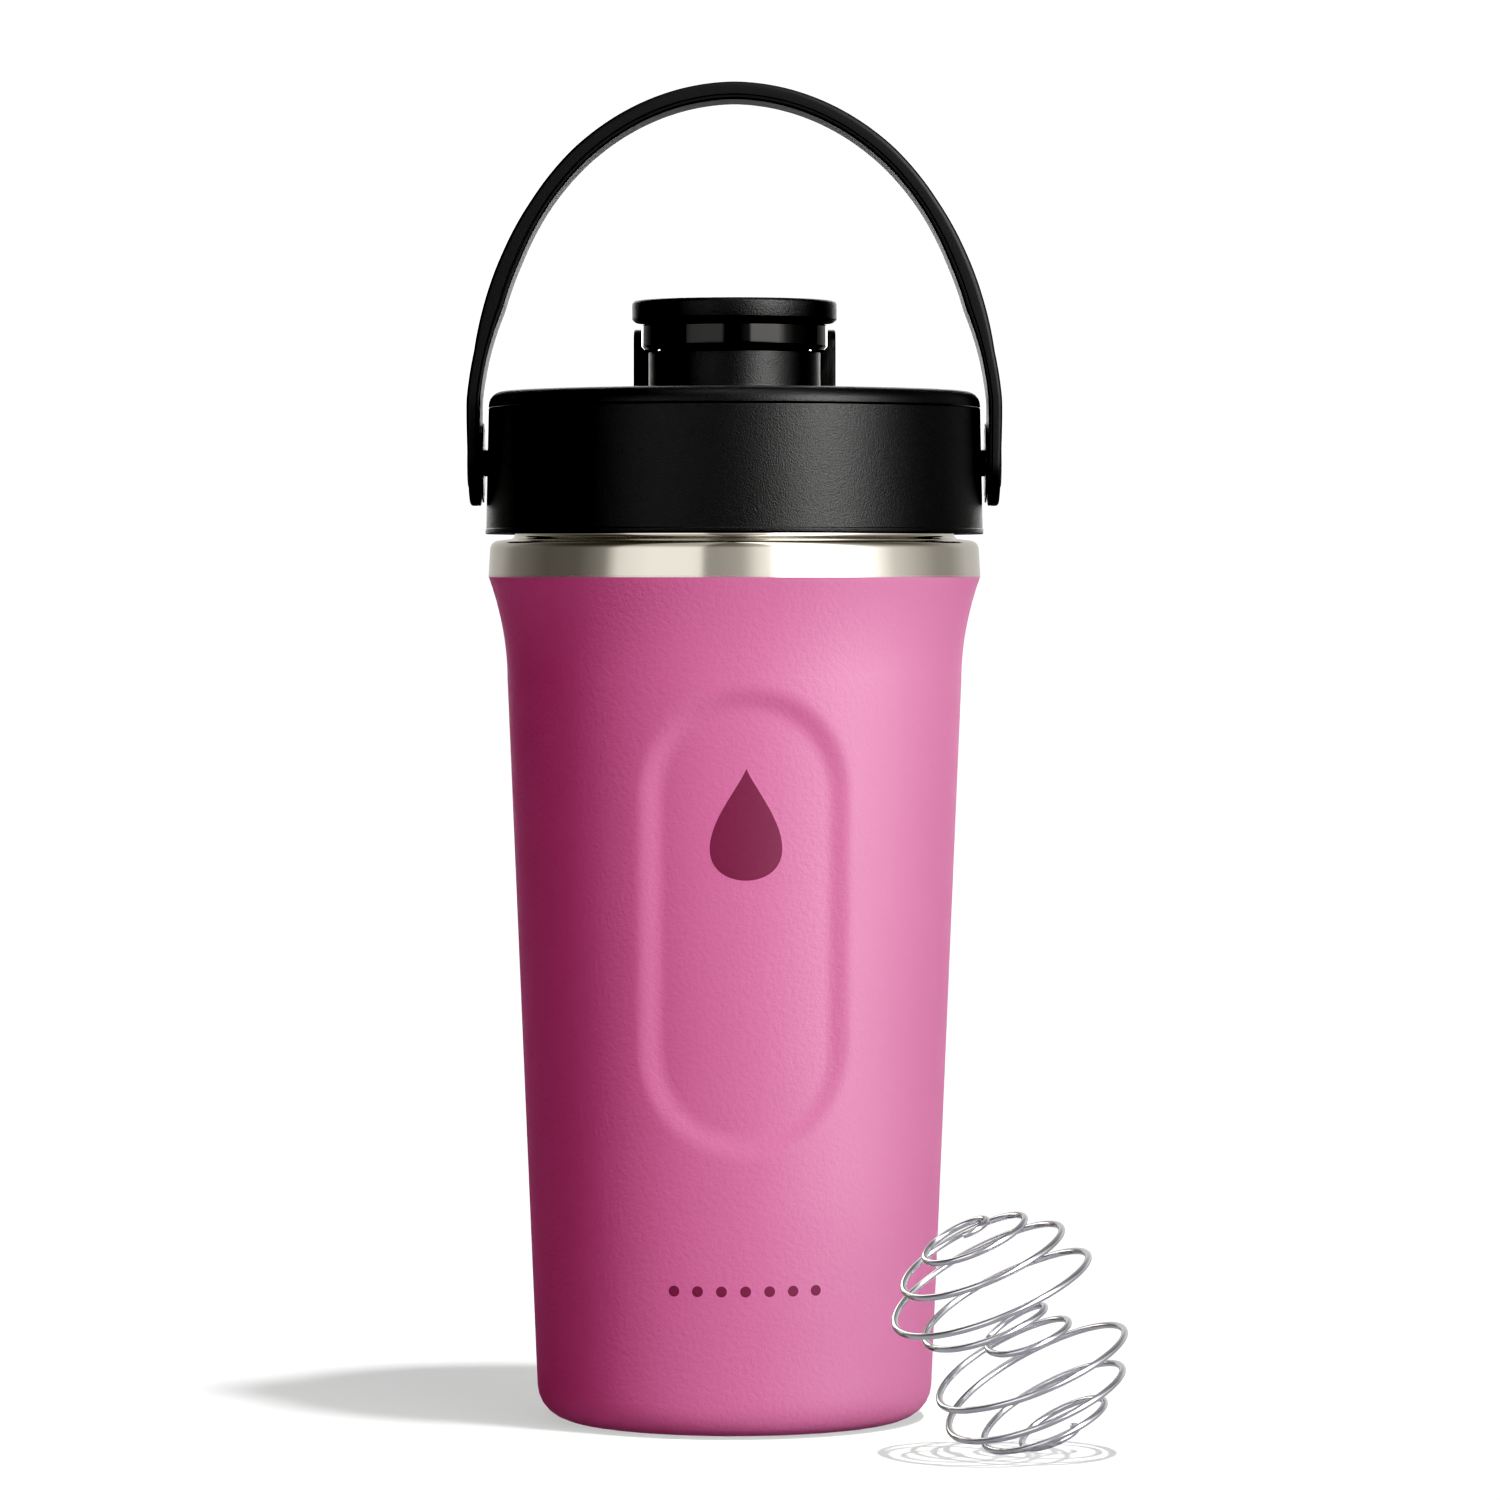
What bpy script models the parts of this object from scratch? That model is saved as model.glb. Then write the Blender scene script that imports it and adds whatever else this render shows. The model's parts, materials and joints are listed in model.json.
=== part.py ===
"""An insulated steel shaker bottle: vacuum wall, threaded neck, screw lid with a flip cap over its spout,
a carry strap on two pivots, and a loose whisk ball wound from one wire.

Metres, +Z up. The origin is the middle of the base, on the bottle's axis. One grip well faces -Y and the
other +Y, the flip cap hinges at the +Y side, and the strap's two pivots lie along X.
"""

import math

import bmesh
import bpy
import numpy as np
from mathutils import Matrix, Vector

MM = 0.001

# Outer wall of the bottle
BASE_CORNER_R = 6.4 * MM
BASE_CONTACT_R = 30.5 * MM
TAPER_FOOT = (36.9 * MM, 6.5 * MM)
TAPER_HEAD = (42.4 * MM, 138.0 * MM)
SHELL_TOP_Z = 157.5 * MM
SHELL_TOP_R = 46.0 * MM
FLARE_POWER = 1.95
SHELL_WALL = 0.6 * MM
FOOT_LIP_R = 28.0 * MM

# Grip wells: a stadium pressed into the front and the back, measured round the wall
WELL_DEPTH = 1.5 * MM
WELL_MIDDLE_Z = 94.3 * MM
WELL_HALF_STRAIGHT = 22.8 * MM
WELL_FLOOR_R = 15.7 * MM
WELL_EDGE_R = 20.6 * MM
WELL_TURN_DEG = 3.2

# Liner, neck and screw thread
LINER_WALL = 0.5 * MM
VACUUM_GAP = 2.3 * MM
LINER_FLOOR_Z = 7.6 * MM
LINER_NECK_R = 39.5 * MM
COLLAR_R = 45.9 * MM
NECK_R = 41.0 * MM
NECK_BORE_R = 39.95 * MM
NECK_TOP_Z = 185.0 * MM
MOUTH_Z = 186.3 * MM
THREAD_LEAD = 8.0 * MM
THREAD_TURNS = 0.95
THREAD_FOOT_Z = 170.5 * MM
NECK_CREST_R = 42.0 * MM
LID_CREST_R = 41.4 * MM

# Lid
SKIRT_FOOT = (46.55 * MM, 165.1 * MM)
SKIRT_HEAD = (46.2 * MM, 188.55 * MM)
SKIRT_BORE_R = 44.2 * MM
LID_LINER_R = 43.9 * MM
LID_LINER_BORE_R = 42.6 * MM
LID_TOP_Z = 191.7 * MM
LID_SEAM_Z = 188.85 * MM
LID_UNDERSIDE_Z = 188.3 * MM
LID_EDGE_ROUND = 3.6 * MM

# Spout and flip cap, on their own axis in front of the hinge
SPOUT_Y = -3.0 * MM
SPOUT_R = 16.0 * MM
SPOUT_BORE_R = 13.3 * MM
SPOUT_NECK_TOP_Z = 199.0 * MM
LIP_TOP_Z = 204.0 * MM
LIP_TOP_R = 18.06 * MM
CAP_R = 19.07 * MM
CAP_UNDERSIDE_Z = 204.4 * MM
CAP_TOP_Z = 208.5 * MM
HINGE_Y = 20.0 * MM
HINGE_Z = 201.0 * MM
PIN_R = 1.0 * MM
PIN_HOLE_R = 1.25 * MM
KNUCKLE_R = 2.7 * MM
POST_R = 3.0 * MM
POST_INNER_X = 14.5 * MM
POST_OUTER_X = 19.1 * MM

# Carry strap
STRAP_PIVOT_Z = 178.4 * MM
STRAP_HALF_WIDTH = 8.0 * MM
STRAP_INNER_X = 47.25 * MM
STRAP_ARCH_Z = 189.8 * MM
STRAP_ARCH_HEIGHT = 56.7 * MM
STRAP_THICKNESS = 2.5 * MM
STUD_R = 2.5 * MM
STUD_HOLE_R = 2.8 * MM
STUD_FLANGE_R = 5.9 * MM
STUD_HEAD_R = 4.6 * MM

# Whisk ball
BALL_R = 21.2 * MM
BALL_WIRE_R = 0.52 * MM
BALL_X = 49.7 * MM
BALL_Y = -54.0 * MM
BALL_TURNS = 4.65
BALL_CORE_TURNS = 1.25
BALL_CORE_R = 5.0 * MM
BALL_SHOULDER_DEG = 72.0
BALL_POLE_DEG = 8.0
BALL_PHASE_DEG = 144.0
BALL_POINT_GAP = 5.4 * MM
BALL_LEAN_DEG = 25.4
BALL_NOD_DEG = 10.0

ROUND_STEPS = 48
SMALL_STEPS = 28


def clear_scene():
    for old in list(bpy.data.objects):
        bpy.data.objects.remove(old)


def new_collection(name):
    collection = bpy.data.collections.new(name)
    bpy.context.scene.collection.children.link(collection)
    return collection


def material(name, color, roughness, metallic=0.0):
    made = bpy.data.materials.new(name)
    made.use_nodes = True
    shader = made.node_tree.nodes["Principled BSDF"]
    shader.inputs["Base Color"].default_value = (*color, 1.0)
    shader.inputs["Roughness"].default_value = roughness
    shader.inputs["Metallic"].default_value = metallic
    return made


def mesh_object(name, mesh, finish, collection):
    """Puts a mesh in the scene as a named object with its material, shaded smooth up to 35 degrees."""
    obj = bpy.data.objects.new(name, mesh)
    collection.objects.link(obj)
    if finish:
        mesh.materials.clear()
        mesh.materials.append(finish)
    mesh.shade_smooth()
    mesh.set_sharp_from_angle(angle=math.radians(35))
    return obj


def baked(obj, name):
    """The evaluated mesh of an object, welded and facing outwards; the object itself is removed."""
    bpy.context.view_layer.update()
    graph = bpy.context.evaluated_depsgraph_get()
    mesh = bpy.data.meshes.new_from_object(obj.evaluated_get(graph))
    mesh.name = name
    mesh.transform(obj.matrix_world)
    bpy.data.objects.remove(obj)
    work = bmesh.new()
    work.from_mesh(mesh)
    bmesh.ops.remove_doubles(work, verts=work.verts, dist=0.000002)
    bmesh.ops.recalc_face_normals(work, faces=work.faces)
    work.to_mesh(mesh)
    work.free()
    return mesh


def turned(name, outline, finish, collection, steps=ROUND_STEPS, centre=(0.0, 0.0)):
    """Turns an outline of (radius, height) points about a vertical axis. It runs down the outer side; an
    outline that starts and ends on the axis is left open there, and any other is closed into a ring."""
    count = len(outline)
    edges = [(i, i + 1) for i in range(count - 1)]
    if outline[0][0] > 0 or outline[-1][0] > 0:
        edges.append((count - 1, 0))
    mesh = bpy.data.meshes.new(name)
    mesh.from_pydata([(r, 0.0, z) for r, z in outline], edges, [])
    obj = bpy.data.objects.new(name, mesh)
    collection.objects.link(obj)
    screw = obj.modifiers.new("turn", "SCREW")
    screw.steps = steps
    screw.render_steps = steps
    screw.use_merge_vertices = True
    screw.merge_threshold = 0.00001
    obj.location = (*centre, 0.0)
    return mesh_object(name, baked(obj, name), finish, collection)


def plate(name, outline, x_from, x_to, finish, collection):
    """A flat outline of (y, z) points, extruded along X between two places."""
    curve = bpy.data.curves.new(name, "CURVE")
    curve.dimensions = "2D"
    curve.fill_mode = "BOTH"
    curve.extrude = (x_to - x_from) / 2
    spline = curve.splines.new("POLY")
    spline.points.add(len(outline) - 1)
    for point, (y, z) in zip(spline.points, outline):
        point.co = (y, z, 0.0, 1.0)
    spline.use_cyclic_u = True
    obj = bpy.data.objects.new(name, curve)
    collection.objects.link(obj)
    to_yz = Matrix(((0, 0, 1, 0), (1, 0, 0, 0), (0, 1, 0, 0), (0, 0, 0, 1)))
    obj.matrix_world = Matrix.Translation(((x_from + x_to) / 2, 0, 0)) @ to_yz
    return mesh_object(name, baked(obj, name), finish, collection)


def round_bar(name, radius, x_from, x_to, y, z, finish, collection, steps=SMALL_STEPS):
    """A cylinder along X."""
    work = bmesh.new()
    lay_down = Matrix.Rotation(math.radians(90), 4, "Y")
    place = Matrix.Translation(((x_from + x_to) / 2, y, z)) @ lay_down
    bmesh.ops.create_cone(
        work, cap_ends=True, segments=steps, radius1=radius, radius2=radius,
        depth=abs(x_to - x_from), matrix=place,
    )
    mesh = bpy.data.meshes.new(name)
    work.to_mesh(mesh)
    work.free()
    return mesh_object(name, mesh, finish, collection)


def arc(centre, radius, start_deg, end_deg, count, squash=1.0):
    """Points round an arc; squash scales it along the second coordinate."""
    angles = np.radians(np.linspace(start_deg, end_deg, count))
    return [
        (centre[0] + radius * math.cos(a), centre[1] + squash * radius * math.sin(a))
        for a in angles
    ]


def helper(obj):
    """Keeps a Boolean operand in the file, out of renders."""
    obj.hide_render = True
    obj.display_type = "WIRE"
    return obj


def boolean(obj, operation, other):
    step = obj.modifiers.new(operation.lower() + "_" + other.name, "BOOLEAN")
    step.operation = operation
    step.solver = "EXACT"
    step.object = helper(other)


def wall_radius(z):
    """Outer radius of the painted wall: a straight taper with a flared shoulder above it."""
    (foot_r, foot_z), (head_r, head_z) = TAPER_FOOT, TAPER_HEAD
    if z <= head_z:
        return foot_r + (head_r - foot_r) * (z - foot_z) / (head_z - foot_z)
    rise = (z - head_z) / (SHELL_TOP_Z - head_z)
    return head_r + (SHELL_TOP_R - head_r) * rise**FLARE_POWER


def well_depth(point):
    """How deep the grip wells press the wall in at a point."""
    radius = math.hypot(point.x, point.y)
    round_wall = radius * math.atan2(abs(point.x), abs(point.y))
    past_straight = max(abs(point.z - WELL_MIDDLE_Z) - WELL_HALF_STRAIGHT, 0.0)
    away = math.hypot(round_wall, past_straight)
    t = min(max((away - WELL_FLOOR_R) / (WELL_EDGE_R - WELL_FLOOR_R), 0.0), 1.0)
    return WELL_DEPTH * (1 - t * t * (3 - 2 * t))


def wall_rows():
    """Heights of the rows of faces up the wall, close together where the wells and the flare bend it."""
    reach = WELL_HALF_STRAIGHT + WELL_EDGE_R
    steps = np.array([0.0, 2.6, 6.0, 12.0, WELL_EDGE_R / MM]) * MM
    lower = [WELL_MIDDLE_Z - reach + s for s in steps]
    upper = [WELL_MIDDLE_Z + reach - s for s in reversed(steps)]
    flare = np.linspace(TAPER_HEAD[1], SHELL_TOP_Z, 6)[1:]
    return lower + upper + list(flare)


def make_outer_shell(finish, collection):
    """Powder-coated outer wall: round foot, two grip wells and a flared top, open at both ends. The wells
    stand a few degrees off the strap's line, because that is where the lid's thread comes up tight."""
    rows = wall_rows()
    centre = (BASE_CONTACT_R, BASE_CORNER_R + 0.1 * MM)
    inner_corner = BASE_CORNER_R - SHELL_WALL
    outline = [(wall_radius(z), z) for z in reversed(rows)]
    outline += arc(centre, BASE_CORNER_R, 0, -90, 5, squash=centre[1] / BASE_CORNER_R)
    outline += [(FOOT_LIP_R + 1.0 * MM, 0.0), (FOOT_LIP_R, 0.5 * MM), (FOOT_LIP_R, 1.3 * MM)]
    outline += [(FOOT_LIP_R + 0.6 * MM, 1.3 * MM), (FOOT_LIP_R + 1.1 * MM, SHELL_WALL)]
    outline += arc(centre, inner_corner, -90, 0, 4)
    outline += [(wall_radius(z) - SHELL_WALL, z) for z in rows]
    shell = turned("outer_shell", outline, finish, collection)
    for vertex in shell.data.vertices:
        radius = math.hypot(vertex.co.x, vertex.co.y)
        pressed = (radius - well_depth(vertex.co)) / radius
        vertex.co.x *= pressed
        vertex.co.y *= pressed
    shell.data.transform(Matrix.Rotation(math.radians(WELL_TURN_DEG), 4, "Z"))
    return shell


def make_inner_liner(finish, collection):
    """Steel cup that holds the drink. Its rim rolls out over the neck and forms the mouth."""
    bore = LINER_NECK_R - LINER_WALL
    head_r = TAPER_HEAD[0] - SHELL_WALL - VACUUM_GAP
    foot_r = TAPER_FOOT[0] - SHELL_WALL - VACUUM_GAP
    corner = 5.0 * MM
    corner_z = LINER_FLOOR_Z + corner
    inside = [(0.0, LINER_FLOOR_Z + LINER_WALL)]
    inside += arc((foot_r - corner, corner_z), corner - LINER_WALL, -90, 0, 4)
    inside += [(head_r - LINER_WALL, TAPER_HEAD[1]), (bore, 148.0 * MM), (bore, MOUTH_Z - 0.4 * MM)]
    rim = [(bore + 0.35 * MM, MOUTH_Z), (40.6 * MM, MOUTH_Z), (40.9 * MM, MOUTH_Z - 0.3 * MM)]
    rim += [(40.9 * MM, NECK_TOP_Z + 0.35 * MM), (LINER_NECK_R, NECK_TOP_Z + 0.35 * MM)]
    outside = [(LINER_NECK_R, 148.0 * MM), (head_r, TAPER_HEAD[1])]
    outside += arc((foot_r - corner, corner_z), corner, 0, -90, 4)
    outside += [(0.0, LINER_FLOOR_Z)]
    return turned("inner_liner", inside + rim + outside, finish, collection)


def thread_ridge(name, wall_r, crest_r, foot_z, collection):
    """Two-start screw ridge as a loose solid whose root sits inside the wall it is joined to."""
    outwards = 1 if crest_r > wall_r else -1
    root_r = wall_r - outwards * 0.35 * MM
    stations = int(THREAD_TURNS * ROUND_STEPS) + 1
    work = bmesh.new()
    for start in (0.0, math.pi):
        rings = []
        for i in range(stations):
            t = i / (stations - 1)
            turn = t * THREAD_TURNS
            run_out = min(1.0, min(t, 1 - t) * 10)
            top_r = wall_r - outwards * 0.15 * MM + run_out * (crest_r - wall_r + outwards * 0.15 * MM)
            middle = foot_z + turn * THREAD_LEAD
            angle = start + 2 * math.pi * turn
            section = [(root_r, -1.1), (top_r, -0.45), (top_r, 0.45), (root_r, 1.1)]
            rings.append([
                work.verts.new((r * math.cos(angle), r * math.sin(angle), middle + dz * MM))
                for r, dz in section
            ])
        for low, high in zip(rings, rings[1:]):
            for j in range(4):
                k = (j + 1) % 4
                work.faces.new((low[j], low[k], high[k], high[j]))
        work.faces.new(reversed(rings[0]))
        work.faces.new(rings[-1])
    bmesh.ops.recalc_face_normals(work, faces=work.faces)
    mesh = bpy.data.meshes.new(name)
    work.to_mesh(mesh)
    work.free()
    return mesh_object(name, mesh, None, collection)


def make_neck_ring(finish, collection, helpers):
    """Bare steel collar and threaded neck, welded between the outer wall and the liner's rim."""
    seat_z = SHELL_TOP_Z + 0.3 * MM
    outline = [(NECK_R - 0.3 * MM, NECK_TOP_Z), (NECK_R, NECK_TOP_Z - 0.4 * MM)]
    outline += [(NECK_R, 164.8 * MM), (NECK_R + 0.5 * MM, 164.3 * MM)]
    outline += arc((COLLAR_R - 2.6 * MM, 161.7 * MM), 2.6 * MM, 90, 0, 5, squash=0.9)
    outline += [(COLLAR_R, seat_z + 0.2 * MM), (COLLAR_R - 0.2 * MM, seat_z)]
    outline += [(44.7 * MM, seat_z), (44.5 * MM, 155.8 * MM), (43.9 * MM, 155.8 * MM)]
    outline += [(44.0 * MM, 158.4 * MM), (45.0 * MM, 159.4 * MM), (45.0 * MM, 161.4 * MM)]
    outline += [(43.2 * MM, 163.1 * MM), (40.9 * MM, 163.3 * MM), (NECK_BORE_R, 164.4 * MM)]
    outline += [(NECK_BORE_R, NECK_TOP_Z)]
    ring = turned("neck_ring", outline, finish, collection)
    ridge = thread_ridge("neck_thread_ridge", NECK_R, NECK_CREST_R, THREAD_FOOT_Z, helpers)
    boolean(ring, "UNION", ridge)
    return ring


def make_base(steel, cover_steel, solder, getter, collection, helpers):
    """Base plate with its pump-out port and solder seal, the getter under its bracket, and the cover."""
    plate_z, plate_top = 2.4 * MM, 3.0 * MM
    base = turned("base_plate", [
        (0.0, plate_top), (31.2 * MM, plate_top), (31.5 * MM, plate_top - 0.2 * MM),
        (31.5 * MM, plate_z), (0.0, plate_z),
    ], steel, collection)
    port = turned("port_cutter", [
        (0.0, 4.0 * MM), (1.5 * MM, 4.0 * MM), (1.5 * MM, 2.0 * MM), (0.0, 2.0 * MM),
    ], None, helpers, steps=16)
    boolean(base, "DIFFERENCE", port)
    turned("vacuum_port_seal", [
        (0.0, 3.0 * MM), (1.2 * MM, 3.0 * MM), (1.2 * MM, 2.1 * MM), (2.4 * MM, 2.1 * MM),
        (2.1 * MM, 1.65 * MM), (0.0, 1.6 * MM),
    ], solder, collection, steps=16)
    turned("base_cover", [
        (0.0, 1.35 * MM), (27.4 * MM, 1.35 * MM), (27.6 * MM, 1.15 * MM), (27.6 * MM, 1.0 * MM),
        (27.3 * MM, 0.8 * MM), (0.0, 0.8 * MM),
    ], cover_steel, collection)
    turned("getter_pill", [
        (0.0, 5.3 * MM), (4.0 * MM, 5.3 * MM), (4.0 * MM, 3.3 * MM), (0.0, 3.3 * MM),
    ], getter, collection, steps=SMALL_STEPS, centre=(14.0 * MM, 0.0))
    foot, height, sheet = 9.0 * MM, 5.6 * MM, 0.4 * MM
    bracket = [(-foot, 3.3 * MM), (-5.2 * MM, 3.3 * MM), (-4.7 * MM, height), (4.7 * MM, height)]
    bracket += [(5.2 * MM, 3.3 * MM), (foot, 3.3 * MM), (foot, 3.3 * MM + sheet)]
    bracket += [(5.5 * MM, 3.3 * MM + sheet), (5.0 * MM, height + sheet), (-5.0 * MM, height + sheet)]
    bracket += [(-5.5 * MM, 3.3 * MM + sheet), (-foot, 3.3 * MM + sheet)]
    plate("getter_bracket", bracket, 12.0 * MM, 16.0 * MM, steel, collection)


def make_mouth_gasket(finish, collection):
    """Silicone ring held in the lid. It closes on the liner's rim."""
    low, high = MOUTH_Z + 0.35 * MM, LID_UNDERSIDE_Z - 0.35 * MM
    round_off = 0.25 * MM
    return turned("mouth_gasket", [
        (41.0 * MM, high), (41.2 * MM, high - round_off), (41.2 * MM, low + round_off), (41.0 * MM, low),
        (37.2 * MM, low), (37.0 * MM, low + round_off), (37.0 * MM, high - round_off), (37.2 * MM, high),
    ], finish, collection)


def make_lid_skirt(finish, collection, helpers):
    """Outer ring of the lid, which the hand turns, with a hole for each strap stud."""
    (foot_r, foot_z), (head_r, head_z) = SKIRT_FOOT, SKIRT_HEAD
    skirt = turned("lid_skirt", [
        (head_r - 0.3 * MM, head_z), (head_r, head_z - 0.3 * MM), (foot_r - 0.12 * MM, foot_z + 1.5 * MM),
        (foot_r, foot_z + 1.2 * MM), (foot_r, foot_z + 0.3 * MM), (foot_r - 0.3 * MM, foot_z),
        (SKIRT_BORE_R, foot_z), (SKIRT_BORE_R, head_z),
    ], finish, collection)
    for side, reach in (("left", -1), ("right", 1)):
        hole = round_bar(
            "skirt_hole_" + side, STUD_HOLE_R, reach * 43.0 * MM, reach * 48.0 * MM,
            0.0, STRAP_PIVOT_Z, None, helpers,
        )
        boolean(skirt, "DIFFERENCE", hole)
    return skirt


def make_lid_liner(finish, collection, helpers):
    """Inner ring of the lid, with the thread that runs on the neck."""
    liner = turned("lid_liner", [
        (LID_LINER_R, 187.9 * MM), (LID_LINER_R, 166.0 * MM),
        (LID_LINER_BORE_R, 166.0 * MM), (LID_LINER_BORE_R, 187.9 * MM),
    ], finish, collection)
    half_pitch = THREAD_LEAD / 4
    ridge = thread_ridge(
        "lid_thread_ridge", LID_LINER_BORE_R, LID_CREST_R, THREAD_FOOT_Z + half_pitch, helpers
    )
    boolean(liner, "UNION", ridge)
    return liner


def make_lid_top(finish, collection, helpers):
    """Top of the lid, with the spout's neck and the two posts of the flip cap's hinge."""
    edge = SKIRT_HEAD[0]
    outline = [(0.0, LID_TOP_Z)]
    outline += arc(
        (edge - LID_EDGE_ROUND, LID_SEAM_Z), LID_EDGE_ROUND, 90, 0, 6,
        squash=(LID_TOP_Z - LID_SEAM_Z) / LID_EDGE_ROUND,
    )
    outline += [(43.9 * MM, LID_SEAM_Z), (43.6 * MM, LID_UNDERSIDE_Z), (0.0, LID_UNDERSIDE_Z)]
    top = turned("lid_top", outline, finish, collection)
    centre = (0.0, SPOUT_Y)
    neck = turned("spout_neck", [
        (0.0, SPOUT_NECK_TOP_Z), (SPOUT_R - 0.3 * MM, SPOUT_NECK_TOP_Z),
        (SPOUT_R, SPOUT_NECK_TOP_Z - 0.3 * MM), (SPOUT_R, 193.4 * MM), (SPOUT_R + 0.5 * MM, 192.1 * MM),
        (SPOUT_R + 1.2 * MM, 191.2 * MM), (0.0, 190.0 * MM),
    ], None, helpers, steps=40, centre=centre)
    boolean(top, "UNION", neck)
    for side, reach in (("left", -1), ("right", 1)):
        outline = [(HINGE_Y + POST_R + 0.3 * MM, 190.5 * MM)]
        outline += arc((HINGE_Y, HINGE_Z), POST_R, 0, 180, 9)
        outline += [(HINGE_Y - POST_R - 0.3 * MM, 190.5 * MM)]
        low, high = sorted((reach * POST_INNER_X, reach * POST_OUTER_X))
        boolean(top, "UNION", plate("post_" + side, outline, low, high, None, helpers))
    bore = turned("spout_bore", [
        (0.0, 202.0 * MM), (SPOUT_BORE_R, 202.0 * MM), (SPOUT_BORE_R, 186.0 * MM), (0.0, 186.0 * MM),
    ], None, helpers, steps=40, centre=centre)
    boolean(top, "DIFFERENCE", bore)
    holes = round_bar(
        "post_holes", PIN_HOLE_R, -22.0 * MM, 22.0 * MM, HINGE_Y, HINGE_Z, None, helpers, steps=16
    )
    boolean(top, "DIFFERENCE", holes)
    return top


def make_spout_lip(finish, collection):
    """Glossy pouring lip that flares out of the spout's neck."""
    low = SPOUT_NECK_TOP_Z + 0.3 * MM
    bore = SPOUT_BORE_R + 0.2 * MM
    return turned("spout_lip", [
        (LIP_TOP_R - 0.5 * MM, LIP_TOP_Z), (LIP_TOP_R, LIP_TOP_Z - 0.5 * MM), (17.1 * MM, low + 1.6 * MM),
        (16.7 * MM, low), (bore, low), (bore, LIP_TOP_Z - 0.5 * MM), (bore + 0.5 * MM, LIP_TOP_Z),
    ], finish, collection, steps=40, centre=(0.0, SPOUT_Y))


def make_flip_cap(finish, collection, helpers):
    """Round cap over the spout, with the hinge knuckle behind it."""
    cap = turned("flip_cap", [
        (0.0, CAP_TOP_Z), (CAP_R - 1.2 * MM, CAP_TOP_Z), (CAP_R - 0.35 * MM, CAP_TOP_Z - 0.35 * MM),
        (CAP_R, CAP_TOP_Z - 1.2 * MM), (CAP_R, CAP_UNDERSIDE_Z + 0.5 * MM),
        (CAP_R - 0.5 * MM, CAP_UNDERSIDE_Z), (0.0, CAP_UNDERSIDE_Z),
    ], finish, collection, steps=40, centre=(0.0, SPOUT_Y))
    outline = [(10.0 * MM, CAP_UNDERSIDE_Z + 0.2 * MM), (16.1 * MM, CAP_UNDERSIDE_Z + 0.2 * MM)]
    outline += [(HINGE_Y - KNUCKLE_R, 203.4 * MM)]
    outline += arc((HINGE_Y, HINGE_Z), KNUCKLE_R, 180, 360, 9)
    outline += [(HINGE_Y + KNUCKLE_R, 205.0 * MM), (HINGE_Y + 0.8 * MM, 207.3 * MM)]
    outline += [(10.0 * MM, CAP_TOP_Z - 0.6 * MM)]
    half = POST_INNER_X - 0.4 * MM
    boolean(cap, "UNION", plate("cap_knuckle", outline, -half, half, None, helpers))
    hole = round_bar(
        "knuckle_hole", PIN_HOLE_R, -22.0 * MM, 22.0 * MM, HINGE_Y, HINGE_Z, None, helpers, steps=16
    )
    boolean(cap, "DIFFERENCE", hole)
    return cap


def make_spout_plug(finish, collection):
    """Silicone stopper under the flip cap. It seals inside the lip."""
    return turned("spout_plug", [
        (0.0, CAP_UNDERSIDE_Z - 0.3 * MM), (12.9 * MM, CAP_UNDERSIDE_Z - 0.3 * MM),
        (12.9 * MM, 203.0 * MM), (12.4 * MM, 200.5 * MM), (11.8 * MM, 200.0 * MM), (0.0, 200.0 * MM),
    ], finish, collection, steps=36, centre=(0.0, SPOUT_Y))


def strap_route():
    """The inner face of the strap, seen from the front: up one side, over the arch and down the other."""
    ends = arc((STRAP_PIVOT_Z, 0.0), STRAP_HALF_WIDTH - 0.05 * MM, 180, 90, 7)
    side = [(STRAP_INNER_X, z) for z, _ in ends] + [(STRAP_INNER_X, STRAP_PIVOT_Z + 4.5 * MM)]
    crown = arc((0.0, STRAP_ARCH_Z), STRAP_INNER_X, 0, 90, 15, squash=STRAP_ARCH_HEIGHT / STRAP_INNER_X)
    half = side + crown
    return half + [(-x, z) for x, z in reversed(half[:-1])]


def strap_half_width(z, side_x):
    """The strap is of even width, with round ends about its pivots."""
    below = STRAP_PIVOT_Z - z
    if abs(side_x) < STRAP_INNER_X - 0.001 * MM or below <= 0:
        return STRAP_HALF_WIDTH
    return math.sqrt(max(STRAP_HALF_WIDTH**2 - below**2, (0.8 * MM) ** 2))


def make_strap_band(finish, collection, helpers):
    """Flexible band bent into an arch: a strip along the route, given its thickness on the outside."""
    route = strap_route()
    work = bmesh.new()
    rows = []
    for x, z in route:
        half = strap_half_width(z, x)
        rows.append([work.verts.new((x, y, z)) for y in (-half, half)])
    for low, high in zip(rows, rows[1:]):
        work.faces.new((low[0], low[1], high[1], high[0]))
    mesh = bpy.data.meshes.new("strap_band")
    work.to_mesh(mesh)
    work.free()
    strip = bpy.data.objects.new("strap_strip", mesh)
    collection.objects.link(strip)
    thick = strip.modifiers.new("thickness", "SOLIDIFY")
    thick.thickness = STRAP_THICKNESS
    thick.offset = 1.0 if mesh.polygons[0].normal.x > 0 else -1.0
    thick.use_even_offset = True
    band = mesh_object("strap_band", baked(strip, "strap_band"), finish, collection)
    outer_x = STRAP_INNER_X + STRAP_THICKNESS
    for side, reach in (("left", -1), ("right", 1)):
        hole = round_bar(
            "strap_hole_" + side, STUD_HOLE_R, reach * 46.0 * MM, reach * 51.0 * MM,
            0.0, STRAP_PIVOT_Z, None, helpers,
        )
        boolean(band, "DIFFERENCE", hole)
        seat = round_bar(
            "strap_seat_" + side, STUD_HEAD_R + 0.3 * MM, reach * (outer_x - 1.0 * MM),
            reach * 52.0 * MM, 0.0, STRAP_PIVOT_Z, None, helpers,
        )
        boolean(band, "DIFFERENCE", seat)
    return band


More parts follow.
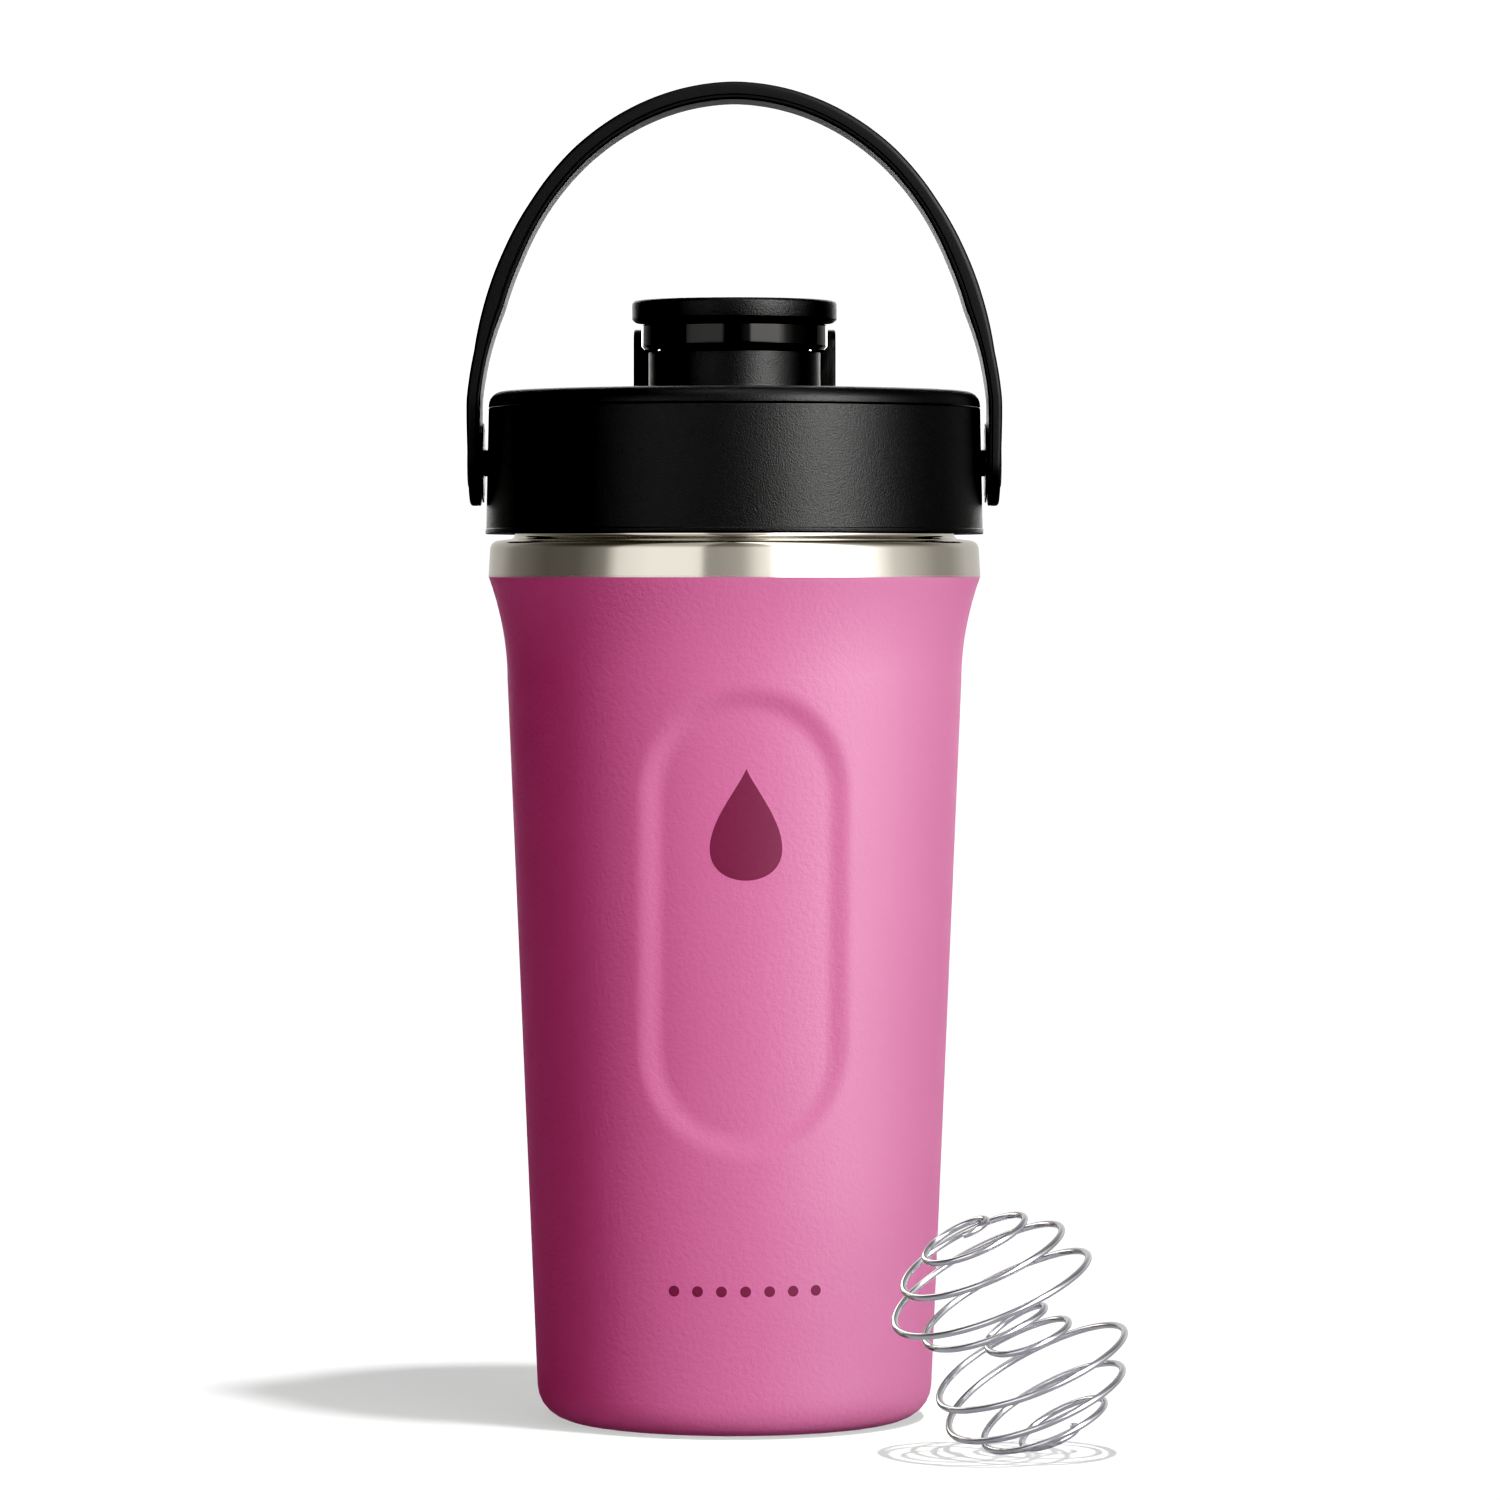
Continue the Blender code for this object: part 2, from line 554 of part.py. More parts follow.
def stud_outline(outer_x):
    """Half section of a strap stud, (radius, distance from the bottle's axis), from its head inwards."""
    return [
        (0.0, outer_x), (STUD_HEAD_R - 0.3 * MM, outer_x), (STUD_HEAD_R, outer_x - 0.25 * MM),
        (STUD_HEAD_R, outer_x - 0.7 * MM), (STUD_R, outer_x - 0.7 * MM), (STUD_R, 47.0 * MM),
        (STUD_FLANGE_R, 47.0 * MM), (STUD_FLANGE_R, 46.65 * MM), (STUD_R, 46.65 * MM),
        (STUD_R, 44.3 * MM), (0.0, 44.3 * MM),
    ]


def make_strap_pivots(stud_finish, washer_finish, collection):
    """On each side, the stud that the strap turns on, and the washer on the strap's inner face."""
    outer_x = STRAP_INNER_X + STRAP_THICKNESS
    washer = [(7.4 * MM, 47.0 * MM), (7.4 * MM, 46.7 * MM), (6.2 * MM, 46.7 * MM), (6.2 * MM, 47.0 * MM)]
    for side, reach in (("left", -1), ("right", 1)):
        outward = Matrix.Rotation(math.radians(90 * reach), 4, "Y")
        place = Matrix.Translation((0.0, 0.0, STRAP_PIVOT_Z)) @ outward
        stud = turned("strap_stud_" + side, stud_outline(outer_x), stud_finish, collection, steps=24)
        ring = turned("strap_washer_" + side, washer, washer_finish, collection, steps=24)
        for piece in (stud, ring):
            piece.data.transform(place)


def make_hinge_pin(finish, collection):
    reach = POST_OUTER_X - 0.3 * MM
    return round_bar("hinge_pin", PIN_R, -reach, reach, HINGE_Y, HINGE_Z, finish, collection, steps=14)


def ball_point(turn):
    """A point of the whisk ball's wire, turn counted from the ball's middle. Beyond the core the wire
    winds over a sphere towards a pole; in the core it spirals in to a small loop about the middle."""
    past_core = max(abs(turn) - BALL_CORE_TURNS, 0.0) / (BALL_TURNS - BALL_CORE_TURNS)
    from_pole = math.radians(BALL_SHOULDER_DEG + (BALL_POLE_DEG - BALL_SHOULDER_DEG) * past_core)
    reach = abs(turn) / BALL_CORE_TURNS
    out = reach / (1 + reach**6) ** (1 / 6)
    radius = math.hypot(BALL_CORE_R * (1 - out), BALL_R * math.sin(from_pole) * out)
    height = math.copysign(BALL_R * math.cos(from_pole) * out, -turn)
    angle = 2 * math.pi * turn + math.radians(BALL_PHASE_DEG)
    return Vector((radius * math.cos(angle), radius * math.sin(angle), height))


def ball_route():
    """The wire's points at an even spacing, leaning as the ball lies, with its lowest point on the floor."""
    fine = [ball_point(t) for t in np.linspace(-BALL_TURNS, BALL_TURNS, 1500)]
    walked = np.cumsum([0.0] + [(b - a).length for a, b in zip(fine, fine[1:])])
    count = int(walked[-1] / BALL_POINT_GAP)
    marks = np.linspace(0.0, walked[-1], count)
    columns = [np.interp(marks, walked, [p[i] for p in fine]) for i in range(3)]
    nod = Matrix.Rotation(math.radians(BALL_NOD_DEG), 3, "X")
    lean = Matrix.Rotation(math.radians(-BALL_LEAN_DEG), 3, "Y")
    points = [lean @ nod @ Vector(p) for p in zip(*columns)]
    drop = min(p.z for p in points) - BALL_WIRE_R
    return [p + Vector((BALL_X, BALL_Y, -drop)) for p in points]


def make_whisk_ball(finish, collection):
    """Loose ball wound from one wire: two coils that meet in a small loop at the middle."""
    route = ball_route()
    curve = bpy.data.curves.new("whisk_ball", "CURVE")
    curve.dimensions = "3D"
    curve.bevel_depth = BALL_WIRE_R
    curve.bevel_resolution = 2
    curve.use_fill_caps = True
    spline = curve.splines.new("POLY")
    spline.points.add(len(route) - 1)
    for point, co in zip(spline.points, route):
        point.co = (*co, 1.0)
    wire = bpy.data.objects.new("whisk_wire", curve)
    collection.objects.link(wire)
    return mesh_object("whisk_ball", baked(wire, "whisk_ball"), finish, collection)


def main():
    clear_scene()
    bottle = new_collection("shaker_bottle")
    helpers = new_collection("boolean_helpers")

    powder = material("pink_powder_coat", (0.66, 0.13, 0.33), 0.5)
    steel = material("brushed_steel", (0.62, 0.61, 0.58), 0.3, 1.0)
    dull_steel = material("rolled_steel", (0.5, 0.5, 0.5), 0.45, 1.0)
    solder = material("solder", (0.45, 0.45, 0.47), 0.35, 1.0)
    sinter = material("getter_sinter", (0.12, 0.12, 0.12), 0.8)
    black = material("black_moulded_plastic", (0.02, 0.02, 0.022), 0.5)
    gloss_black = material("black_polished_plastic", (0.015, 0.015, 0.017), 0.12)
    grey_silicone = material("grey_silicone", (0.3, 0.3, 0.31), 0.6)
    band_rubber = material("black_strap_rubber", (0.03, 0.03, 0.033), 0.6)
    bright_wire = material("bright_steel_wire", (0.75, 0.75, 0.76), 0.12, 1.0)

    make_outer_shell(powder, bottle)
    make_neck_ring(steel, bottle, helpers)
    make_inner_liner(steel, bottle)
    make_base(dull_steel, steel, solder, sinter, bottle, helpers)
    make_mouth_gasket(grey_silicone, bottle)
    make_lid_skirt(black, bottle, helpers)
    make_lid_liner(black, bottle, helpers)
    make_lid_top(black, bottle, helpers)
    make_spout_lip(gloss_black, bottle)
    make_hinge_pin(dull_steel, bottle)
    make_flip_cap(black, bottle, helpers)
    make_spout_plug(grey_silicone, bottle)
    make_strap_band(band_rubber, bottle, helpers)
    make_strap_pivots(black, black, bottle)
    make_whisk_ball(bright_wire, bottle)


main()
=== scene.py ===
# %% [markdown]
# # An insulated steel shaker bottle
#
# A shaker bottle is a steel vacuum flask with a screw lid, a flip cap over its spout, a bendy carry strap and
# a loose wire ball that whisks the powder. This lesson dresses the plain engineering model of one: each part
# that the eye meets is made again as a fine mesh, in the same place, and every surface gets a finish built
# from nodes. We start by loading the model and keeping its outer size.

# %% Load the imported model
import json
import math

import bmesh
import bpy
from mathutils import Matrix, Vector

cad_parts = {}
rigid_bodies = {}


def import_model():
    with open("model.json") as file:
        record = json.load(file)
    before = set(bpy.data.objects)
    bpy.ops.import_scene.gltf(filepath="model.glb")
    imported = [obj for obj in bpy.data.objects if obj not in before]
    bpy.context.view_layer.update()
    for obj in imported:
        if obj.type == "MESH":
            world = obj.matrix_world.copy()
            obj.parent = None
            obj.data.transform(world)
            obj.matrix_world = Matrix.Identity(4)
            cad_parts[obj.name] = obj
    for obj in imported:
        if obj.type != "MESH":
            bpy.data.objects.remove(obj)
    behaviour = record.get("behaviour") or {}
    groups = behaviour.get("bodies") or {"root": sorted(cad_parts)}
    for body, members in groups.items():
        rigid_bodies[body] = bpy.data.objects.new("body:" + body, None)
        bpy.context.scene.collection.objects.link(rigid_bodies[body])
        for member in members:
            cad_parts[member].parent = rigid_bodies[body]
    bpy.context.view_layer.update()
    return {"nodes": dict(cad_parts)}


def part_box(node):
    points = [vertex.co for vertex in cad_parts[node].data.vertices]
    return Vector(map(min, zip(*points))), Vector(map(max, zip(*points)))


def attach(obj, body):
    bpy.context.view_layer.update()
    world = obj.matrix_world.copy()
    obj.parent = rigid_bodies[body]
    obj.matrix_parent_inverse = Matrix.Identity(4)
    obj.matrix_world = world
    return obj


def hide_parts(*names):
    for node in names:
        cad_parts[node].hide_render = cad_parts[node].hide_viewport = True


for old in list(bpy.data.objects):
    bpy.data.objects.remove(old)
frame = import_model()
MM = 0.001

# %% [markdown]
# ## One helper for nodes, one for colours
#
# Geometry, materials and the world are all node trees. One function adds any node: it takes the node's
# settings as keywords and its inputs as a dictionary, where a value is set and a node or a socket is linked.
# Colours are written as sRGB hex codes, the way a colour picker shows them, and turned to the linear numbers
# that a renderer adds up.

# %% Helpers for nodes and colours
def add(tree, kind, inputs=None, **settings):
    """Adds a node. An input is a value, a node (its first output is linked) or an output socket."""
    node = tree.nodes.new(kind)
    for name, value in settings.items():
        setattr(node, name, value)
    for key, value in (inputs or {}).items():
        if isinstance(value, bpy.types.Node):
            value = value.outputs[0]
        if isinstance(value, bpy.types.NodeSocket):
            tree.links.new(value, node.inputs[key])
        else:
            node.inputs[key].default_value = value
    return node


def linear(code):
    """sRGB hex code to linear RGBA."""
    parts = [int(code[i:i + 2], 16) / 255 for i in (1, 3, 5)]
    return (*[p / 12.92 if p <= 0.04045 else ((p + 0.055) / 1.055) ** 2.4 for p in parts], 1.0)


print("mid grey #808080 is linear", round(linear("#808080")[0], 3))

# %% [markdown]
# ## The camera
#
# The view is a product shot: the eye is level with the shoulder of the bottle, a good step back, with a long
# lens, so that upright lines stay nearly parallel. The lens follows from how wide the picture is at the
# bottle. We look down by a degree or two instead of shifting the lens.

# %% Camera
EYE = Vector((2.9, -1280.0, 157.5)) * MM
AIM = Vector((2.9, 0.0, 124.8)) * MM
PICTURE_WIDTH = 280.4 * MM

lens_data = bpy.data.cameras.new("product_camera")
camera = bpy.data.objects.new("product_camera", lens_data)
bpy.context.scene.collection.objects.link(camera)
camera.location = EYE
camera.rotation_euler = (AIM - EYE).to_track_quat("-Z", "Y").to_euler()
lens_data.sensor_width = 36.0
lens_data.lens = lens_data.sensor_width * (AIM - EYE).length / PICTURE_WIDTH
lens_data.clip_start = 0.05
bpy.context.scene.camera = camera
print("lens", round(lens_data.lens, 1), "mm")

# %% [markdown]
# ## Finishes
#
# Each finish is named for the real material and how its surface was made. A finish starts from an empty
# material with one Principled shader, and its patterns read Object coordinates, whose unit is the metre, so a
# grain that is 0.7 mm wide gets a noise scale of one over 0.0007.

# %% A helper that starts a finish
def start_finish(name):
    """A new material with a Principled shader linked to its output: (material, tree, shader)."""
    finish = bpy.data.materials.new(name)
    finish.use_nodes = True
    tree = finish.node_tree
    tree.nodes.clear()
    shader = add(tree, "ShaderNodeBsdfPrincipled")
    add(tree, "ShaderNodeOutputMaterial", {"Surface": shader})
    return finish, tree, shader


def set_inputs(shader, **values):
    """Sets shader inputs; an underscore in a name stands for a space, and a node is linked."""
    for key, value in values.items():
        socket = shader.inputs[key.replace("_", " ")]
        if isinstance(value, bpy.types.Node):
            shader.id_data.links.new(value.outputs[0], socket)
        else:
            socket.default_value = value


# %% [markdown]
# ### Powder coat
#
# Pigmented polyester powder is sprayed dry on the steel and baked until it flows. It keeps a soft orange-peel
# grain a little under a millimetre across, hard to see straight on and clear where light grazes. The paint
# film is satin: a deep body colour under a broad pale sheen. Two noises make the grain, a wide one for the
# peel and a fine one for the powder, and a very slow noise shifts the colour by a shade. Pigment at the
# surface breaks up most of the mirror light, so the specular level is low, which keeps the dark side rich.

# %% Powder coat
PEEL_GRAIN = 0.9 * MM
POWDER_GRAIN = 0.35 * MM
COLOUR_DRIFT = 18.0
POWDER_SHARE = 0.35

powder_coat, tree, shader = start_finish("powder_coat_baked_polyester")
place = add(tree, "ShaderNodeTexCoord")
peel = add(tree, "ShaderNodeTexNoise", {
    "Vector": place.outputs["Object"], "Scale": 1 / PEEL_GRAIN, "Detail": 2.0, "Roughness": 0.55,
})
powder = add(tree, "ShaderNodeTexNoise", {
    "Vector": place.outputs["Object"], "Scale": 1 / POWDER_GRAIN, "Detail": 1.0,
})
drift = add(tree, "ShaderNodeTexNoise", {
    "Vector": place.outputs["Object"], "Scale": COLOUR_DRIFT, "Detail": 1.0,
})
colour = add(tree, "ShaderNodeValToRGB", {"Fac": drift})
colour.color_ramp.elements[0].color = linear("#db8ab1")
colour.color_ramp.elements[1].color = linear("#de8fb5")
satin = add(tree, "ShaderNodeMapRange", {"Value": peel, "To Min": 0.54, "To Max": 0.64})
height = add(tree, "ShaderNodeMath", {0: powder, 1: POWDER_SHARE, 2: peel}, operation="MULTIPLY_ADD")
bump = add(tree, "ShaderNodeBump", {"Height": height, "Strength": 0.9, "Distance": 0.12 * MM})
set_inputs(shader, Base_Color=colour, Roughness=satin, Normal=bump, IOR=1.5, Specular_IOR_Level=0.15)
print("powder coat grain", PEEL_GRAIN / MM, "mm")

# %% [markdown]
# ### Printed ink
#
# The small marks are pad-printed in a darker ink over the paint. The ink is thin, so the paint's grain shows
# through it, and it is a touch shinier than the paint.

# %% Printed ink
plum_ink, tree, shader = start_finish("pad_printed_plum_ink")
place = add(tree, "ShaderNodeTexCoord")
peel = add(tree, "ShaderNodeTexNoise", {
    "Vector": place.outputs["Object"], "Scale": 1 / PEEL_GRAIN, "Detail": 2.0,
})
colour = add(tree, "ShaderNodeValToRGB", {"Fac": peel})
colour.color_ramp.elements[0].color = linear("#84455e")
colour.color_ramp.elements[1].color = linear("#8b4b65")
bump = add(tree, "ShaderNodeBump", {"Height": peel, "Strength": 0.3, "Distance": 0.05 * MM})
set_inputs(shader, Base_Color=colour, Roughness=0.5, Normal=bump, IOR=1.5)
print("ink shows the coat's grain of", PEEL_GRAIN / MM, "mm")

# %% [markdown]
# ### Steel
#
# The neck and the cup are 18/8 stainless steel, spun on a lathe and polished with a belt while they turn.
# That leaves hair lines round the axis, far finer than the eye can part, so they are drawn three tenths of a
# millimetre apart. A noise that is stretched flat, by scaling its Z much more than X and Y, gives rings whose
# strength wanders. Rings smear a highlight up and down and keep it crisp round the neck.

# %% Spun and polished steel
HAIR_LINE = 0.3 * MM
LINE_LENGTH = 25.0 * MM

def steel(name, code, roughness, line, depth):
    """Stainless steel with hair lines round Z: their spacing, and their depth in the bump."""
    finish, tree, shader = start_finish(name)
    place = add(tree, "ShaderNodeTexCoord")
    flat = add(tree, "ShaderNodeMapping", {
        "Vector": place.outputs["Object"], "Scale": (1 / LINE_LENGTH, 1 / LINE_LENGTH, 1 / line),
    })
    lines = add(tree, "ShaderNodeTexNoise", {
        "Vector": flat, "Scale": 1.0, "Detail": 3.0, "Roughness": 0.6,
    })
    blur = add(tree, "ShaderNodeMapRange", {
        "Value": lines, "To Min": roughness * 0.8, "To Max": roughness * 1.25,
    })
    bump = add(tree, "ShaderNodeBump", {"Height": lines, "Strength": 0.25, "Distance": depth})
    set_inputs(shader, Base_Color=linear(code), Metallic=1.0, Roughness=blur, Normal=bump)
    return finish


polished_steel = steel("stainless_steel_belt_polished", "#d2cec6", 0.12, HAIR_LINE, 0.004 * MM)
rolled_steel = steel("stainless_steel_cold_rolled", "#b4b3b0", 0.38, 0.8 * MM, 0.01 * MM)
print("steel hair lines", HAIR_LINE / MM, "mm apart")

# %% [markdown]
# ### Bright wire
#
# Spring wire is drawn through a die, which leaves it smooth and bright. It is about a millimetre thick and
# shows mostly dark and light streaks of the room, so it is nearly a mirror. A noise lets the polish wander
# between a mirror and a faint scuff, as it does on a ball that has rattled about.

# %% Drawn wire
SCUFF_GRAIN = 1.5 * MM

bright_wire, tree, shader = start_finish("stainless_spring_wire_drawn")
place = add(tree, "ShaderNodeTexCoord")
scuff = add(tree, "ShaderNodeTexNoise", {
    "Vector": place.outputs["Object"], "Scale": 1 / SCUFF_GRAIN, "Detail": 2.0,
})
blur = add(tree, "ShaderNodeMapRange", {"Value": scuff, "To Min": 0.05, "To Max": 0.12})
set_inputs(shader, Base_Color=linear("#ececf4"), Metallic=1.0, Roughness=blur)
print("wire scuffs", SCUFF_GRAIN / MM, "mm across")

# %% [markdown]
# ### Solder and the getter
#
# Two finishes sit out of sight under the base. Solder freezes with a slightly lumpy, dull surface. The getter
# is a pressed pill of metal powder, dark and grainy.

# %% Solder and sintered powder
ROUGHNESS_SWING = 0.06

def grainy(name, code, roughness, metallic, grain, depth):
    """A rough finish with one noise in its height."""
    finish, tree, shader = start_finish(name)
    place = add(tree, "ShaderNodeTexCoord")
    lumps = add(tree, "ShaderNodeTexNoise", {
        "Vector": place.outputs["Object"], "Scale": 1 / grain, "Detail": 3.0,
    })
    blur = add(tree, "ShaderNodeMapRange", {
        "Value": lumps, "To Min": roughness - ROUGHNESS_SWING, "To Max": roughness + ROUGHNESS_SWING,
    })
    bump = add(tree, "ShaderNodeBump", {"Height": lumps, "Strength": 0.4, "Distance": depth})
    set_inputs(shader, Base_Color=linear(code), Metallic=metallic, Roughness=blur, Normal=bump)
    return finish


solder = grainy("tin_solder_frozen", "#a8a8ad", 0.4, 1.0, 0.9 * MM, 0.05 * MM)
sinter = grainy("getter_powder_pressed", "#3a3836", 0.8, 0.0, 0.25 * MM, 0.05 * MM)
print("hidden finishes ready")

# %% [markdown]
# ### Moulded plastics
#
# The lid is black polypropylene. Its mould was spark-eroded, which leaves a fine even pebble that turns the
# gloss into a soft sheen with tiny glints. The lip of the spout comes from a polished part of the mould and
# is glassy. Both use one function, because only the pebble and the roughness differ.

# %% Moulded plastics
SPARK_GRAIN = 0.3 * MM

def moulded(name, code, roughness, grain, depth, strength):
    """Injection-moulded plastic whose mould had a pebbled surface of this grain and depth."""
    finish, tree, shader = start_finish(name)
    place = add(tree, "ShaderNodeTexCoord")
    pebble = add(tree, "ShaderNodeTexNoise", {
        "Vector": place.outputs["Object"], "Scale": 1 / grain, "Detail": 2.0, "Roughness": 0.6,
    })
    blur = add(tree, "ShaderNodeMapRange", {
        "Value": pebble, "To Min": roughness * 0.85, "To Max": roughness * 1.15,
    })
    bump = add(tree, "ShaderNodeBump", {"Height": pebble, "Strength": strength, "Distance": depth})
    set_inputs(shader, Base_Color=linear(code), Roughness=blur, Normal=bump, IOR=1.49)
    return finish


spark_black = moulded("polypropylene_spark_eroded", "#0b0b0d", 0.42, SPARK_GRAIN, 0.07 * MM, 1.0)
gloss_black = moulded("polypropylene_mould_polished", "#08080a", 0.07, 2.5 * MM, 0.002 * MM, 0.1)
grey_silicone = moulded("silicone_moulded_satin", "#8b8c90", 0.55, 0.5 * MM, 0.02 * MM, 0.3)
print("spark grain", SPARK_GRAIN / MM, "mm")

# %% [markdown]
# ### Strap rubber
#
# The strap is a thermoplastic rubber band, moulded flat and then bent. The mould was milled along its length,
# so faint lines follow the band round the arch. The mesh carries a UV map in millimetres, along the band and
# across it, and a noise squeezed along the band draws the lines.

# %% Strap rubber
MILLING_LINE = 0.28
LINE_RUN = 0.03
PEBBLE = 0.5 * MM

strap_rubber, tree, shader = start_finish("strap_rubber_moulded")
place = add(tree, "ShaderNodeUVMap", uv_map="along_band")
milled = add(tree, "ShaderNodeMapping", {"Vector": place, "Scale": (LINE_RUN, 1 / MILLING_LINE, 1.0)})
lines = add(tree, "ShaderNodeTexNoise", {"Vector": milled, "Scale": 1.0, "Detail": 2.0})
spot = add(tree, "ShaderNodeTexCoord")
pebble = add(tree, "ShaderNodeTexNoise", {
    "Vector": spot.outputs["Object"], "Scale": 1 / PEBBLE, "Detail": 2.0,
})
height = add(tree, "ShaderNodeMath", {0: lines, 1: 1.2, 2: pebble}, operation="MULTIPLY_ADD")
bump = add(tree, "ShaderNodeBump", {"Height": height, "Strength": 0.15, "Distance": 0.03 * MM})
blur = add(tree, "ShaderNodeMapRange", {"Value": lines, "To Min": 0.44, "To Max": 0.62})
set_inputs(shader, Base_Color=linear("#141416"), Roughness=blur, Normal=bump, IOR=1.5)
print("strap lines", MILLING_LINE, "mm apart")

# %% [markdown]
# ## Turned shapes
#
# Most of a bottle is turned: an outline spun about an axis. We write each outline as corner points, in
# millimetres, as (radius, height), and give a corner a third number where it is rounded. A helper swaps such
# a corner for an arc, and the Screw modifier spins the result. Real edges are never knife sharp, and the
# small rounds catch the light that tells the eye so.

# %% Rounded outlines
ARC_STEP_DEG = 15.0

def rounded(outline):
    """Points of an outline whose corners may carry a radius as their third number."""
    points = []
    for i, corner in enumerate(outline):
        here = Vector(corner[:2])
        if len(corner) == 2:
            points.append(here)
            continue
        back = (Vector(outline[i - 1][:2]) - here).normalized()
        onward = (Vector(outline[(i + 1) % len(outline)][:2]) - here).normalized()
        half = back.angle(onward) / 2
        centre = here + (back + onward).normalized() * corner[2] / math.sin(half)
        start = here + back * corner[2] / math.tan(half) - centre
        end = here + onward * corner[2] / math.tan(half) - centre
        steps = max(2, math.ceil(math.degrees(math.pi - 2 * half) / ARC_STEP_DEG))
        points += [centre + corner[2] * start.slerp(end, k / steps) for k in range(steps + 1)]
    return points


print("a rounded square corner has", len(rounded([(0, 0), (10, 0, 2), (10, 10)])) - 2, "points")

# %% From modifiers to plain meshes
WELD = 0.002 * MM

def link(name, data):
    """A new object with this data, linked to the scene."""
    obj = bpy.data.objects.new(name, data)
    bpy.context.scene.collection.objects.link(obj)
    return obj


def plain_mesh(obj):
    """The object's mesh with its modifiers applied, welded and facing out. The object is removed."""
    graph = bpy.context.evaluated_depsgraph_get()
    mesh = bpy.data.meshes.new_from_object(obj.evaluated_get(graph))
    bpy.data.objects.remove(obj)
    work = bmesh.new()
    work.from_mesh(mesh)
    bmesh.ops.remove_doubles(work, verts=work.verts, dist=WELD)
    bmesh.ops.recalc_face_normals(work, faces=work.faces)
    work.to_mesh(mesh)
    work.free()
    return mesh


def turned(outline, steps=192, centre=(0.0, 0.0)):
    """A solid turned from an outline in millimetres, about an upright axis through centre. An outline that
    starts and ends on the axis is left open there; any other is closed into a ring."""
    points = rounded(outline)
    edges = [(i, i + 1) for i in range(len(points) - 1)]
    if outline[0][0] > 0 or outline[-1][0] > 0:
        edges.append((len(points) - 1, 0))
    mesh = bpy.data.meshes.new("outline")
    mesh.from_pydata([(r * MM, 0.0, z * MM) for r, z in points], edges, [])
    obj = link("outline", mesh)
    screw = obj.modifiers.new("turn", "SCREW")
    screw.steps = steps
    screw.render_steps = steps
    screw.use_merge_vertices = True
    screw.merge_threshold = WELD
    mesh = plain_mesh(obj)
    mesh.transform(Matrix.Translation((centre[0] * MM, centre[1] * MM, 0.0)))
    return mesh


print("a turned bead has", len(turned([(0, 2), (2, 2, 1), (2, 0, 1), (0, 0)], steps=32).polygons), "faces")

# %% [markdown]
# ## Finishing a piece
#
# Each piece ends the same way. It gets its finish, smooth shading that breaks at real edges, and the moving
# body that it rides on, and the plain engineering node that it stands for is hidden. Joins and cuts between
# meshes use the exact Boolean.

# %% Helpers to finish, join and cut
SHARP_EDGE = math.radians(32)
BEVEL_EDGE = math.radians(50)

def finish_piece(name, mesh, finish, body, slot, *replaced):
    """Makes a mesh a finished piece that rides on a body and stands for engineering nodes."""
    mesh.name = name
    mesh.materials.clear()
    mesh.materials.append(finish)
    mesh.shade_smooth()
    mesh.set_sharp_from_angle(angle=SHARP_EDGE)
    piece = link(name, mesh)
    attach(piece, body)
    if replaced:
        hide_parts(*replaced)
    size = " x ".join(f"{side / MM:.1f}" for side in piece.dimensions)
    print(f"{name}: {len(mesh.polygons)} faces, {size} mm")
    return piece


def combined(mesh, steps):
    """Joins meshes to a mesh or cuts them from it, in order; a step is (operation, mesh)."""
    obj = link("combined", mesh)
    tools = [link("tool", tool) for _, tool in steps]
    for (operation, _), tool in zip(steps, tools):
        boolean = obj.modifiers.new(operation, "BOOLEAN")
        boolean.operation = operation
        boolean.solver = "EXACT"
        boolean.object = tool
    result = plain_mesh(obj)
    for tool in tools:
        bpy.data.objects.remove(tool)
    return result


def plate(outline, x_from, x_to, edge=0.0):
    """A flat outline of (y, z) corners in millimetres, extruded along X, with rounded edges."""
    work = bmesh.new()
    face = work.faces.new([work.verts.new((x_from * MM, y * MM, z * MM)) for y, z in rounded(outline)])
    grown = bmesh.ops.extrude_face_region(work, geom=[face])["geom"]
    moved = [part for part in grown if isinstance(part, bmesh.types.BMVert)]
    bmesh.ops.translate(work, verts=moved, vec=((x_to - x_from) * MM, 0.0, 0.0))
    mesh = bpy.data.meshes.new("plate")
    work.to_mesh(mesh)
    work.free()
    obj = link("plate", mesh)
    if edge:
        bevel = obj.modifiers.new("edge", "BEVEL")
        bevel.width = edge * MM
        bevel.segments = 3
        bevel.limit_method = "ANGLE"
        bevel.angle_limit = BEVEL_EDGE
    return plain_mesh(obj)


def rod(radius, x_from, x_to, y, z, edge=0.05, steps=48):
    """A cylinder along X, in millimetres, with slightly rounded ends."""
    mesh = turned([(0, x_to), (radius, x_to, edge), (radius, x_from, edge), (0, x_from)], steps)
    mesh.transform(Matrix.Translation((0, y * MM, z * MM)) @ Matrix.Rotation(math.radians(90), 4, "Y"))
    return mesh


# %% [markdown]
# ## Geometry trees
#
# What repeats or follows a rule is made by Geometry Nodes, where each size is a named input. These helpers
# start a tree with its inputs, end it in Realize Instances and Set Material, and run it on an object to get a
# plain mesh back.

# %% Helpers for geometry trees
def start_tree(name, **sizes):
    """A geometry tree with a Geometry, a Finish and one number input for each size: (tree, inputs)."""
    tree = bpy.data.node_groups.new(name, "GeometryNodeTree")
    sockets = tree.interface
    sockets.new_socket("Geometry", in_out="OUTPUT", socket_type="NodeSocketGeometry")
    sockets.new_socket("Geometry", in_out="INPUT", socket_type="NodeSocketGeometry")
    sockets.new_socket("Finish", in_out="INPUT", socket_type="NodeSocketMaterial")
    for label, value in sizes.items():
        socket = sockets.new_socket(label, in_out="INPUT", socket_type="NodeSocketFloat")
        socket.default_value = value
    return tree, add(tree, "NodeGroupInput").outputs


